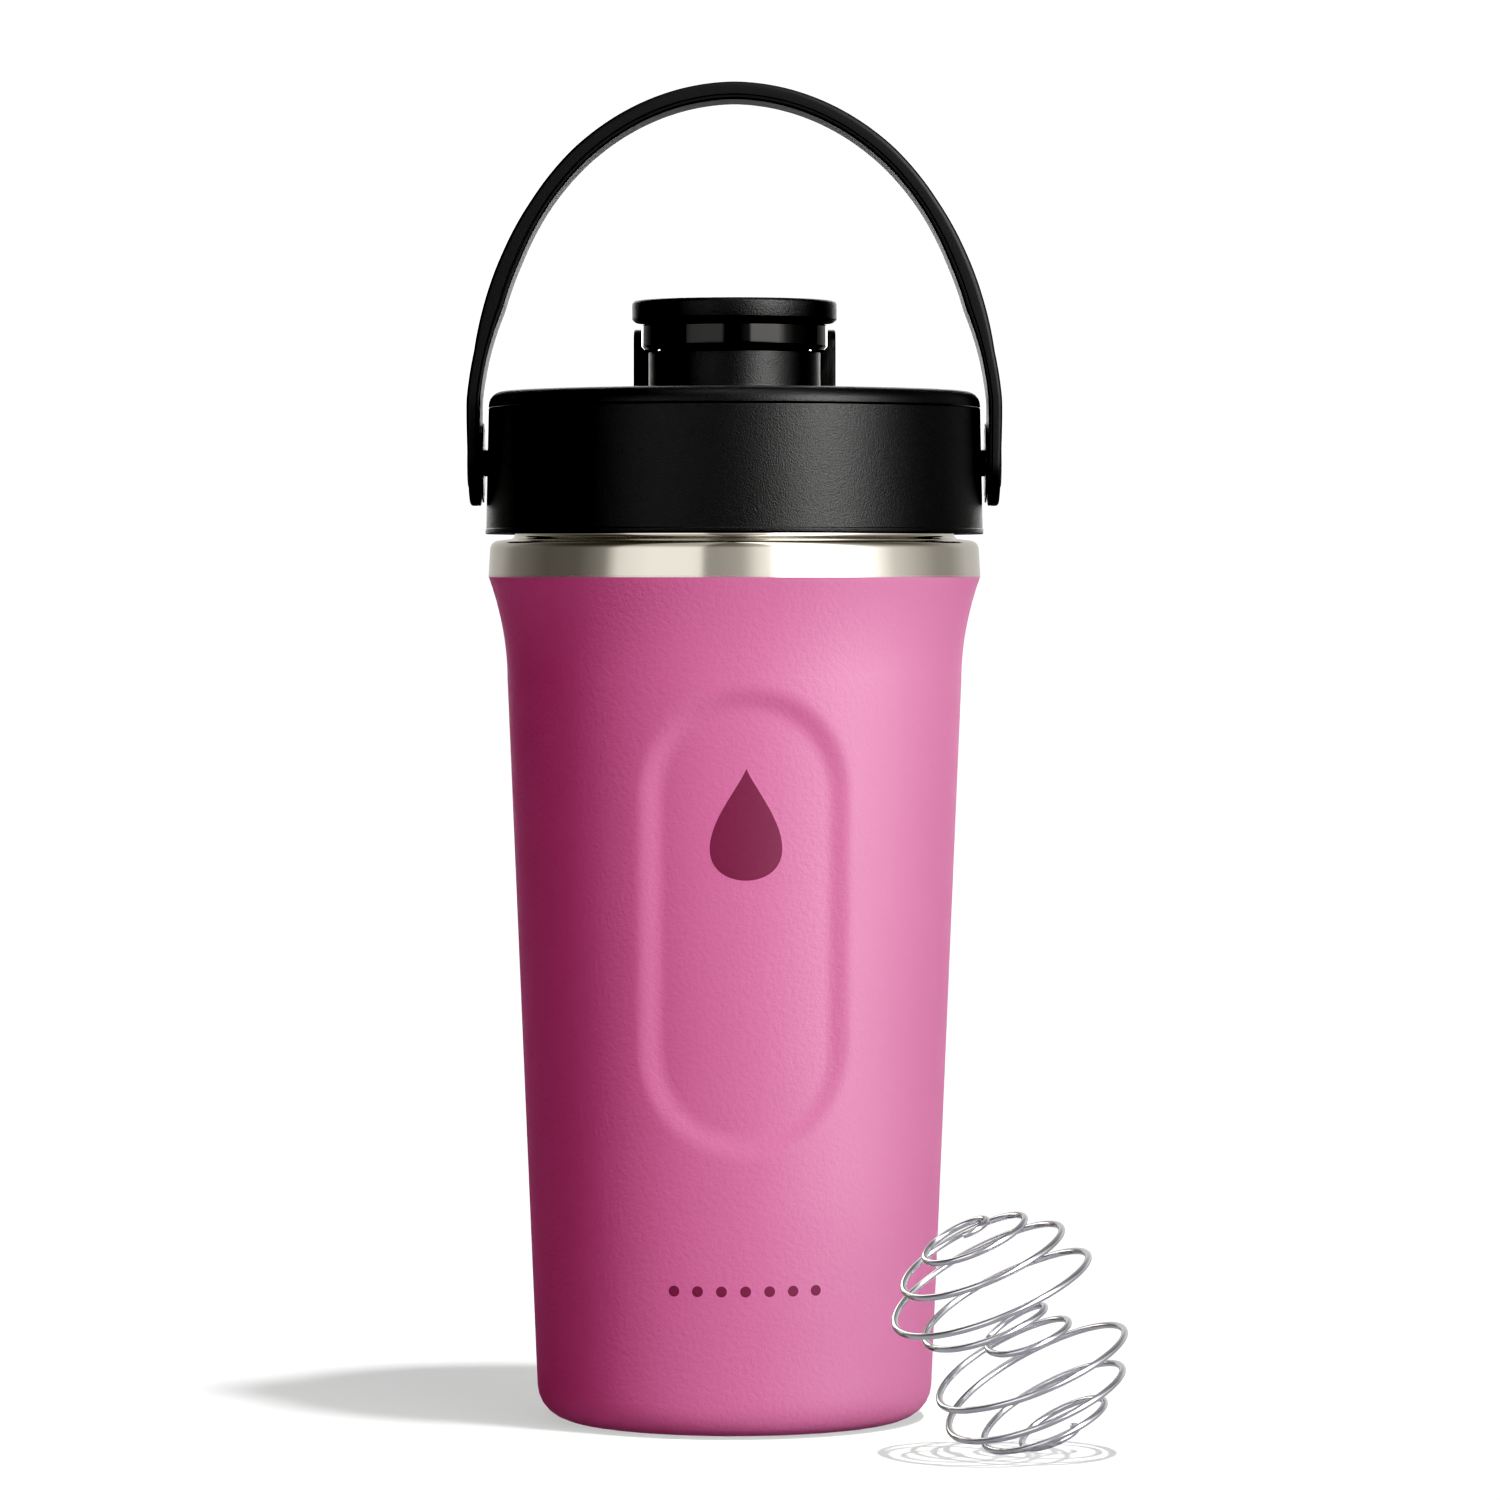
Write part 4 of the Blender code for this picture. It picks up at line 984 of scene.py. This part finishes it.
def route(along):
    """Point of the band's inner face, and the way out of it, at a distance from the right-hand tip."""
    mirror = along > HALF_LENGTH
    along = 2 * HALF_LENGTH - along if mirror else along
    if along <= straight:
        point, out = Vector((BAND_X, PIVOT - BAND_HALF + along)), Vector((1.0, 0.0))
    else:
        k = next(i for i, d in enumerate(walked) if d >= along)
        share = (along - walked[k - 1]) / (walked[k] - walked[k - 1])
        a = (k - 1 + share) / ARCH_STEPS * math.pi / 2
        point = Vector((BAND_X * math.cos(a), ARCH_FOOT + ARCH_HEIGHT * math.sin(a)))
        out = Vector((math.cos(a) / BAND_X, math.sin(a) / ARCH_HEIGHT)).normalized()
    if mirror:
        point.x, out.x = -point.x, -out.x
    return point, out


# %% Build the band layer by layer
EDGE_ROUNDS = rounded([
    (2.0, 0.0), (0.0, 0.0, 0.35), (0.0, 0.5), (0.12, 0.58), (0.12, 0.66), (0.0, 0.74),
    (0.0, BAND_THICK, 0.75), (2.0, BAND_THICK),
])
END_STEPS = 14

def stations(inset):
    """Places along a layer and its half width there, for a stadium drawn in by this much."""
    radius = BAND_HALF - inset
    angles = [i / END_STEPS * math.pi / 2 for i in range(END_STEPS + 1)]
    tip = [(BAND_HALF - radius * math.cos(a), radius * math.sin(a)) for a in angles]
    count = round((2 * HALF_LENGTH - 2 * BAND_HALF) / ROUTE_STEP)
    middle = [BAND_HALF + (2 * HALF_LENGTH - 2 * BAND_HALF) * i / count for i in range(1, count)]
    other = [(2 * HALF_LENGTH - along, half) for along, half in reversed(tip)]
    return tip + [(along, radius) for along in middle] + other


# (share of the way from the lid to the top of the arch, shift of the outer face, shift of the inner face)
ARCH_SHIFTS = [
    (0.0, 0.0, 0.0), (0.11, -0.8, -0.9), (0.22, -0.9, -2.0), (0.34, -0.95, -2.0), (0.47, -0.85, -1.55),
    (0.62, -0.4, -1.2), (1.0, 0.0, -0.75),
]
TIP_THIN = 0.84
TIP_LENGTH = 16.0

def faces_at(along):
    """How far out the band's inner and outer faces lie there: thin at the tips, thickest above the lid."""
    near = min(along, 2 * HALF_LENGTH - along)
    inner, outer = 0.0, BAND_THICK * min(TIP_THIN + (1 - TIP_THIN) * near / TIP_LENGTH, 1.0)
    share = (near - straight) / (HALF_LENGTH - straight)
    for low, high in zip(ARCH_SHIFTS, ARCH_SHIFTS[1:]):
        if low[0] < share <= high[0]:
            blend = (share - low[0]) / (high[0] - low[0])
            inner += low[2] + (high[2] - low[2]) * blend
            outer += low[1] + (high[1] - low[1]) * blend
    return inner, outer


work = bmesh.new()
uv = work.loops.layers.uv.new("along_band")
layers = []
for inset, through in EDGE_ROUNDS:
    rows = []
    for along, half in stations(inset):
        point, out = route(along)
        inner, outer = faces_at(along)
        point = point + out * (inner + (outer - inner) * through / BAND_THICK)
        pair = [work.verts.new(Vector((point.x, across, point.y)) * MM) for across in (-half, half)]
        rows.append([(vertex, along, across) for vertex, across in zip(pair, (-half, half))])
    layers.append((through, rows))


def add_face(corners):
    """A face from (vertex, along, around) corners, with its place on the band as UV."""
    face = work.faces.new([vertex for vertex, _, _ in corners])
    for loop, (_, along, around) in zip(face.loops, corners):
        loop[uv].uv = (along, around)


for through, rows in (layers[0], layers[-1]):
    for low, high in zip(rows, rows[1:]):
        add_face((low[0], low[1], high[1], high[0]))
for (t_low, rows_low), (t_high, rows_high) in zip(layers, layers[1:]):
    for low_a, high_a, low_b, high_b in zip(rows_low, rows_low[1:], rows_high, rows_high[1:]):
        for k in (0, 1):
            corners = ((low_a, t_low), (high_a, t_low), (high_b, t_high), (low_b, t_high))
            add_face([(row[k][0], row[k][1], row[k][2] + t * (2 * k - 1)) for row, t in corners])
bmesh.ops.remove_doubles(work, verts=work.verts, dist=WELD)
bmesh.ops.recalc_face_normals(work, faces=work.faces)
band = bpy.data.meshes.new("band")
work.to_mesh(band)
work.free()

STUD_HEAD_R = 4.6
cuts = []
for ends, seat in (((46.0, 51.0), (48.75, 52.0)), ((-51.0, -46.0), (-52.0, -48.75))):
    cuts.append(("DIFFERENCE", rod(STUD_HOLE_R, *ends, 0.0, PIVOT)))
    cuts.append(("DIFFERENCE", rod(STUD_HEAD_R + 0.3, *seat, 0.0, PIVOT, steps=64)))
band = combined(band, cuts)
finish_piece("strap", band, strap_rubber, "strap", "strap_rubber", "strap_band")

# %% [markdown]
# ## Studs and pads
#
# On each side the strap turns on a stud: a flange against the lid, a round neck through the band, and a low
# head with a dimple, sunk in the band's outer face. A thin ring of plastic between the band and the lid keeps
# the rubber from rubbing.

# %% Studs and pads
HEAD_OUT = 49.75
stud_outline = [
    (0, HEAD_OUT - 0.35), (1.7, HEAD_OUT - 0.35, 0.2), (2.1, HEAD_OUT, 0.2), (STUD_HEAD_R, HEAD_OUT, 0.35),
    (STUD_HEAD_R, 49.05), (2.5, 49.05), (2.5, 47.0), (5.9, 47.0, 0.12), (5.9, 46.65, 0.1), (2.5, 46.65),
    (2.5, 44.3), (0, 44.3),
]
pad_outline = [(7.4, 47.0, 0.1), (7.4, 46.7, 0.1), (6.2, 46.7, 0.1), (6.2, 47.0, 0.1)]
for side, way in (("left", -1), ("right", 1)):
    outward = Matrix.Translation((0, 0, PIVOT * MM)) @ Matrix.Rotation(math.radians(90 * way), 4, "Y")
    stud, pad = turned(stud_outline, steps=96), turned(pad_outline, steps=96)
    stud.transform(outward)
    pad.transform(outward)
    finish_piece("strap_rivet_" + side, stud, spark_black, "lid", "lid_plastic", "strap_stud_" + side)
    finish_piece("strap_pad_" + side, pad, spark_black, "strap", "lid_plastic", "strap_washer_" + side)

# %% [markdown]
# ## The whisk ball
#
# The ball is one steel wire, wound so that it forms a globe: from one pole it coils out to the waist, dives
# in to a small loop at the middle, comes out again and coils to the other pole. In use it rattles about and
# beats the powder into the water. A tree turns a line of points into that coil from a handful of sizes, and
# sweeps a circle along it.

# %% A tree for the wire
WIRE_POINTS = 820
CORE_CORNER = 6.0  # how tightly the wire turns where it leaves the globe for the core

wire_tree, given = start_tree(
    "whisk_wire", Ball_Radius=0.0212, Wire_Radius=0.0006, Turns=4.65, Core_Turns=1.25, Core_Radius=0.005,
    Shoulder=math.radians(72), Pole=math.radians(8), Phase=math.radians(144),
)
line = add(wire_tree, "GeometryNodeMeshLine", {"Count": WIRE_POINTS})
index = add(wire_tree, "GeometryNodeInputIndex")
share = add(wire_tree, "ShaderNodeMath", {0: index, 1: (WIRE_POINTS - 1) / 2}, operation="DIVIDE")
share = add(wire_tree, "ShaderNodeMath", {0: share, 1: -1.0}, operation="ADD")
turns = add(wire_tree, "ShaderNodeMath", {0: share, 1: given["Turns"]}, operation="MULTIPLY")
far = add(wire_tree, "ShaderNodeMath", {0: turns}, operation="ABSOLUTE")
from_pole = add(wire_tree, "ShaderNodeMapRange", {
    "Value": far, "From Min": given["Core_Turns"], "From Max": given["Turns"],
    "To Min": given["Shoulder"], "To Max": given["Pole"],
})
reach = add(wire_tree, "ShaderNodeMath", {0: far, 1: given["Core_Turns"]}, operation="DIVIDE")
bend = add(wire_tree, "ShaderNodeMath", {0: reach, 1: CORE_CORNER}, operation="POWER")
bend = add(wire_tree, "ShaderNodeMath", {0: bend, 1: 1.0}, operation="ADD")
bend = add(wire_tree, "ShaderNodeMath", {0: bend, 1: 1 / CORE_CORNER}, operation="POWER")
out = add(wire_tree, "ShaderNodeMath", {0: reach, 1: bend}, operation="DIVIDE")
globe = add(wire_tree, "ShaderNodeMath", {0: out, 1: given["Ball_Radius"]}, operation="MULTIPLY")
sine = add(wire_tree, "ShaderNodeMath", {0: from_pole}, operation="SINE")
cosine = add(wire_tree, "ShaderNodeMath", {0: from_pole}, operation="COSINE")
wide = add(wire_tree, "ShaderNodeMath", {0: globe, 1: sine}, operation="MULTIPLY")
inward = add(wire_tree, "ShaderNodeMath", {0: 1.0, 1: out}, operation="SUBTRACT")
core = add(wire_tree, "ShaderNodeMath", {0: inward, 1: given["Core_Radius"]}, operation="MULTIPLY")
pair = add(wire_tree, "ShaderNodeCombineXYZ", {"X": wide, "Y": core})
radius = add(wire_tree, "ShaderNodeVectorMath", {0: pair}, operation="LENGTH").outputs["Value"]
side = add(wire_tree, "ShaderNodeMath", {0: turns}, operation="SIGN")
height = add(wire_tree, "ShaderNodeMath", {0: globe, 1: cosine}, operation="MULTIPLY")
height = add(wire_tree, "ShaderNodeMath", {0: height, 1: side}, operation="MULTIPLY")
height = add(wire_tree, "ShaderNodeMath", {0: height, 1: -1.0}, operation="MULTIPLY")
angle = add(wire_tree, "ShaderNodeMath", {
    0: turns, 1: 2 * math.pi, 2: given["Phase"],
}, operation="MULTIPLY_ADD")
sine = add(wire_tree, "ShaderNodeMath", {0: angle}, operation="SINE")
cosine = add(wire_tree, "ShaderNodeMath", {0: angle}, operation="COSINE")
x = add(wire_tree, "ShaderNodeMath", {0: radius, 1: cosine}, operation="MULTIPLY")
y = add(wire_tree, "ShaderNodeMath", {0: radius, 1: sine}, operation="MULTIPLY")
coil = add(wire_tree, "ShaderNodeCombineXYZ", {"X": x, "Y": y, "Z": height})
bent = add(wire_tree, "GeometryNodeSetPosition", {"Geometry": line, "Position": coil})
curve = add(wire_tree, "GeometryNodeMeshToCurve", {"Mesh": bent})
circle = add(wire_tree, "GeometryNodeCurvePrimitiveCircle", {
    "Resolution": 14, "Radius": given["Wire_Radius"],
})
wire = add(wire_tree, "GeometryNodeCurveToMesh", {
    "Curve": curve, "Profile Curve": circle.outputs["Curve"], "Fill Caps": True,
})
end_tree(wire_tree, given, wire)

# %% Lay the ball beside the bottle
LEAN = math.radians(-25.4)
NOD = math.radians(10.0)

ball = run_tree(wire_tree, bright_wire)
ball.transform(Matrix.Rotation(LEAN, 4, "Y") @ Matrix.Rotation(NOD, 4, "X"))
ball_low, ball_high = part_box("whisk_ball")
low = Vector([min(v.co[i] for v in ball.vertices) for i in range(3)])
high = Vector([max(v.co[i] for v in ball.vertices) for i in range(3)])
shift = (ball_low + ball_high - low - high) / 2
shift.z = ball_low.z - low.z
ball.transform(Matrix.Translation(shift))
finish_piece("whisk", ball, bright_wire, "whisk", "whisk_wire", "whisk_ball")

# %% [markdown]
# ## The floor
#
# The shot is a white sweep: the floor and the wall behind it burn out to white, and only a soft shadow to the
# left ties the bottle down. The board is matt white card. Near the bottle it is a real surface that takes
# shadows, and farther off it glows just past white, so that no lamp has to reach it. Light that bounces off
# it finds a darker board than the eye does, or the board would wash out the dark side of the bottle.

# %% Floor
FLOOR_R = 3.0
FLOOR_DROP = 0.05 * MM
BOARD_BOUNCE, BOARD_SEEN = 0.35, 0.92
GLOW_FROM, GLOW_FULL = 0.16, 0.32
BURNT_OUT = 1.05
PURE_WHITE = (1.0, 1.0, 1.0, 1.0)

white_sweep = bpy.data.materials.new("white_sweep_board")
white_sweep.use_nodes = True
tree = white_sweep.node_tree
tree.nodes.clear()
seen = add(tree, "ShaderNodeLightPath").outputs
tone = add(tree, "ShaderNodeMapRange", {
    "Value": seen["Is Camera Ray"], "To Min": BOARD_BOUNCE, "To Max": BOARD_SEEN,
})
board = add(tree, "ShaderNodeBsdfDiffuse", {"Color": tone})
glow = add(tree, "ShaderNodeEmission", {"Color": PURE_WHITE, "Strength": BURNT_OUT})
place = add(tree, "ShaderNodeTexCoord")
distance = add(tree, "ShaderNodeVectorMath", {0: place.outputs["Object"]}, operation="LENGTH")
far = add(tree, "ShaderNodeMapRange", {
    "Value": distance.outputs["Value"], "From Min": GLOW_FROM, "From Max": GLOW_FULL,
}, interpolation_type="SMOOTHSTEP")
both = add(tree, "ShaderNodeMath", {0: far, 1: seen["Is Camera Ray"]}, operation="MULTIPLY")
mix = add(tree, "ShaderNodeMixShader", {0: both, 1: board, 2: glow})
add(tree, "ShaderNodeOutputMaterial", {"Surface": mix})

bpy.ops.mesh.primitive_circle_add(vertices=96, radius=FLOOR_R, fill_type="NGON", location=(0, 0, -FLOOR_DROP))
floor = bpy.context.object
floor.name = "floor"
floor.data.materials.append(white_sweep)
print("floor", 2 * FLOOR_R, "m across")

# %% [markdown]
# ## The room
#
# Polished steel shows the whole room, so the world is a dim studio. A list gives the brightness of its walls
# at each compass angle, counted from the camera's side with the right-hand side positive: a tall bright
# window to the right of the camera, a pale card to its left, a dark flat farther to the left, and grey walls
# elsewhere. The walls fade towards the ceiling. Matt surfaces get only a twentieth of the room's light,
# because the lamps do that work, and the camera sees plain white.

# %% World
ROOM = [
    (-180, 0.70), (-141, 0.55), (-127, 0.35), (-100, 0.22), (-78, 0.24), (-63, 0.40), (-56, 1.10),
    (-40, 1.30), (-15, 1.30), (-14, 0.48), (4, 0.60), (12, 1.20), (19, 1.40), (21, 4.60), (56, 4.60),
    (68, 1.80), (80, 0.95), (97, 0.66), (110, 0.48), (122, 0.48), (140, 0.70),
]
WARMTH = (1.0, 0.985, 0.955)
MATT_SHARE = 0.05
CEILING_FROM, CEILING_FULL, CEILING_LEVEL = 0.25, 0.7, 0.5

world = bpy.data.worlds.new("dim_studio")
bpy.context.scene.world = world
world.use_nodes = True
tree = world.node_tree
tree.nodes.clear()
place = add(tree, "ShaderNodeTexCoord")
way = add(tree, "ShaderNodeSeparateXYZ", {0: place.outputs["Generated"]}).outputs
back = add(tree, "ShaderNodeMath", {0: way["Y"], 1: -1.0}, operation="MULTIPLY")
round_room = add(tree, "ShaderNodeMath", {0: way["X"], 1: back}, operation="ARCTAN2")
share = add(tree, "ShaderNodeMapRange", {"Value": round_room, "From Min": -math.pi, "From Max": math.pi})
walls = add(tree, "ShaderNodeValToRGB", {"Fac": share})
ramp = walls.color_ramp
while len(ramp.elements) > 1:
    ramp.elements.remove(ramp.elements[0])
for i, (degrees, level) in enumerate(ROOM):
    spot = ramp.elements[0] if i == 0 else ramp.elements.new((degrees + 180) / 360)
    spot.position = (degrees + 180) / 360
    spot.color = (*[level * part for part in WARMTH], 1.0)
ceiling = add(tree, "ShaderNodeMapRange", {
    "Value": way["Z"], "From Min": CEILING_FROM, "From Max": CEILING_FULL,
    "To Min": 1.0, "To Max": CEILING_LEVEL,
}, interpolation_type="SMOOTHSTEP")
lit_walls = add(tree, "ShaderNodeVectorMath", {
    0: walls.outputs["Color"], "Scale": ceiling,
}, operation="SCALE")
room = add(tree, "ShaderNodeBackground", {"Color": lit_walls, "Strength": 1.0})
matt_room = add(tree, "ShaderNodeBackground", {"Color": lit_walls, "Strength": MATT_SHARE})
white = add(tree, "ShaderNodeBackground", {"Color": PURE_WHITE, "Strength": BURNT_OUT})
seen = add(tree, "ShaderNodeLightPath").outputs
unseen = add(tree, "ShaderNodeMixShader", {0: seen["Is Diffuse Ray"], 1: room, 2: matt_room})
mix = add(tree, "ShaderNodeMixShader", {0: seen["Is Camera Ray"], 1: unseen, 2: white})
add(tree, "ShaderNodeOutputWorld", {"Surface": mix})
print("the room's walls have", len(ROOM), "tones")

# %% [markdown]
# ## The tone curve
#
# Product shots are printed with firm blacks. The Standard view keeps each colour as it is rendered, and a
# curve with a soft toe then pulls the darkest tones down and leaves the light ones alone.

# %% Tone curve
TOE = [(0.035, 0.0), (0.08, 0.018), (0.12, 0.048), (0.2, 0.125), (0.3, 0.235), (0.45, 0.41), (0.7, 0.69)]
ALL_CHANNELS = 3

print_look = bpy.context.scene.view_settings
print_look.view_transform = "Standard"
print_look.use_curve_mapping = True
for tone_in, tone_out in TOE:
    print_look.curve_mapping.curves[ALL_CHANNELS].points.new(tone_in, tone_out)
print_look.curve_mapping.update()
print("tones under", TOE[0][0], "print black")

# %% [markdown]
# ## Lamps
#
# A studio lights a shiny thing part by part, with cards and flags. Light linking does the same here:
# each lamp has a list of what it shines on and, where it matters, a list of what may shade it. Three helpers
# place a lamp by its angle round the bottle and its height, and make a soft box or a far lamp.

# %% Helpers for lamps
def aimed(lamp, azimuth_deg, height_deg, distance=1.3, aim_height=0.12):
    """Puts a lamp at an azimuth from the camera's side and an angle above the floor, and aims it."""
    azimuth, height = math.radians(azimuth_deg), math.radians(height_deg)
    flat = distance * math.cos(height)
    aim = Vector((0, 0, aim_height))
    way = Vector((flat * math.sin(azimuth), -flat * math.cos(azimuth), distance * math.sin(height)))
    lamp.location = aim + way
    lamp.rotation_euler = (aim - lamp.location).to_track_quat("-Z", "Y").to_euler()


def limit_lamp(lamp, receivers, shades=None):
    """Lets a lamp shine on the receivers only and, if shades are given, lets only those shade it."""
    for purpose, objects in (("receiver", receivers), ("blocker", shades)):
        if objects:
            group = bpy.data.collections.new(f"{lamp.name}_{purpose}s")
            for obj in objects:
                group.objects.link(obj)
            setattr(lamp.light_linking, purpose + "_collection", group)


def soft_box(name, size, power, receivers, shades=None):
    """A rectangular lamp of this width and height in metres."""
    data = bpy.data.lights.new(name, "AREA")
    data.shape = "RECTANGLE"
    data.size, data.size_y = size
    data.energy = power
    lamp = link(name, data)
    limit_lamp(lamp, receivers, shades)
    return lamp


def far_lamp(name, strength, angle_deg, receivers, shades):
    """A lamp so far off that its light is parallel; its angle sets how soft its shadow is."""
    data = bpy.data.lights.new(name, "SUN")
    data.energy = strength
    data.angle = math.radians(angle_deg)
    lamp = link(name, data)
    limit_lamp(lamp, receivers, shades)
    return lamp


# %% [markdown]
# ### What each lamp may touch
#
# The pieces fall into groups: the paint and ink, the black and grey plastics, and the mirror-bright steel.
# Four pieces hide from mirror rays, so that the collar and the ball show the clean room and not the pink and
# black beside them. The shell also hides from matt bounces, so that it doesn't tint the white floor.

# %% Groups of pieces
MIRRORS = {"steel_neck", "steel_cup", "whisk"}
PAINTED = {"painted_shell", "printed_drop", "printed_dots"}

pieces = [obj for obj in bpy.context.scene.objects if obj.type == "MESH" and not obj.hide_render]
painted = [obj for obj in pieces if obj.name in PAINTED]
dark = [obj for obj in pieces if obj.name not in MIRRORS | PAINTED and obj is not floor]
shell_alone = [obj for obj in pieces if obj.name == "painted_shell"]
ball_alone = [obj for obj in pieces if obj.name == "whisk"]
dark_but_lip = [obj for obj in dark if obj.name != "pouring_lip"]
for name in ("painted_shell", "lid_ring", "lid_inner_ring", "lid_seal"):
    bpy.data.objects[name].visible_glossy = False
bpy.data.objects["painted_shell"].visible_diffuse = False
print(len(pieces), "meshes in the shot,", len(painted), "painted and", len(dark), "dark")

# %% [markdown]
# ### Lamps on the bottle
#
# The key is a tall soft box to the right of the camera. It works on the paint alone, and the ball can't shade
# it. The glint box stands farther round and gives no colour, only the pale sheen of the satin paint. A
# magenta gel on the fill keeps the dark side a deep plum. The black parts have a key and a fill of their own,
# because black needs other strengths than pink, and the glossy lip leaves their key out and shows the room.
# One box behind and one above keep the back and the top from going black.

# %% Lamps on the bottle
MAGENTA_GEL = (1.0, 0.0, 0.42)

key = soft_box("key_box", (0.38, 0.66), 12.3, painted, shades=painted + dark)
aimed(key, 42, 26)
glint = soft_box("glint_box", (0.45, 0.90), 110.0, shell_alone)
glint.visible_diffuse = False
aimed(glint, 60, 12)
lid_key = soft_box("lid_key_box", (0.50, 0.80), 12.8, dark_but_lip)
aimed(lid_key, 43, 25)
lid_fill = soft_box("lid_fill_box", (1.2, 1.2), 5.0, dark)
aimed(lid_fill, -37, 5)
fill = soft_box("fill_box", (1.2, 1.2), 3.6, painted)
fill.data.color = MAGENTA_GEL
aimed(fill, -45, 5)
back = soft_box("back_box", (1.2, 1.2), 14.0, painted + dark)
aimed(back, 180, 22)
top = soft_box("top_box", (0.9, 0.9), 5.0, dark)
aimed(top, 0, 75, aim_height=0.2)
print("lamps on the bottle: key, glint, fill, the lid's key and fill, back, top")

# %% [markdown]
# ### Lamps on the floor
#
# The floor has lamps of its own, so that it can go white without washing out the bottle: an overhead wash and
# two far lamps, which together just burn it out. Each far lamp is shaded by one thing. The bottle's is wide
# and stands to the right, so it draws the soft shadow to the left. The ball's is narrow and nearly overhead,
# so it draws the thin rings of the wire.

# %% Lamps on the floor
wash = soft_box("floor_wash", (1.6, 1.6), 3.5, [floor])
aimed(wash, 0, 89.9, distance=1.5, aim_height=0.0)
bottle_lamp = far_lamp("bottle_lamp", 1.6, 5.0, [floor], shades=painted + dark)
aimed(bottle_lamp, 50, 72, distance=1.0, aim_height=0.0)
ball_lamp = far_lamp("ball_lamp", 1.6, 1.3, [floor], shades=ball_alone)
aimed(ball_lamp, 90, 84, distance=1.0, aim_height=0.0)
print("lamps on the floor: wash, bottle lamp, ball lamp")
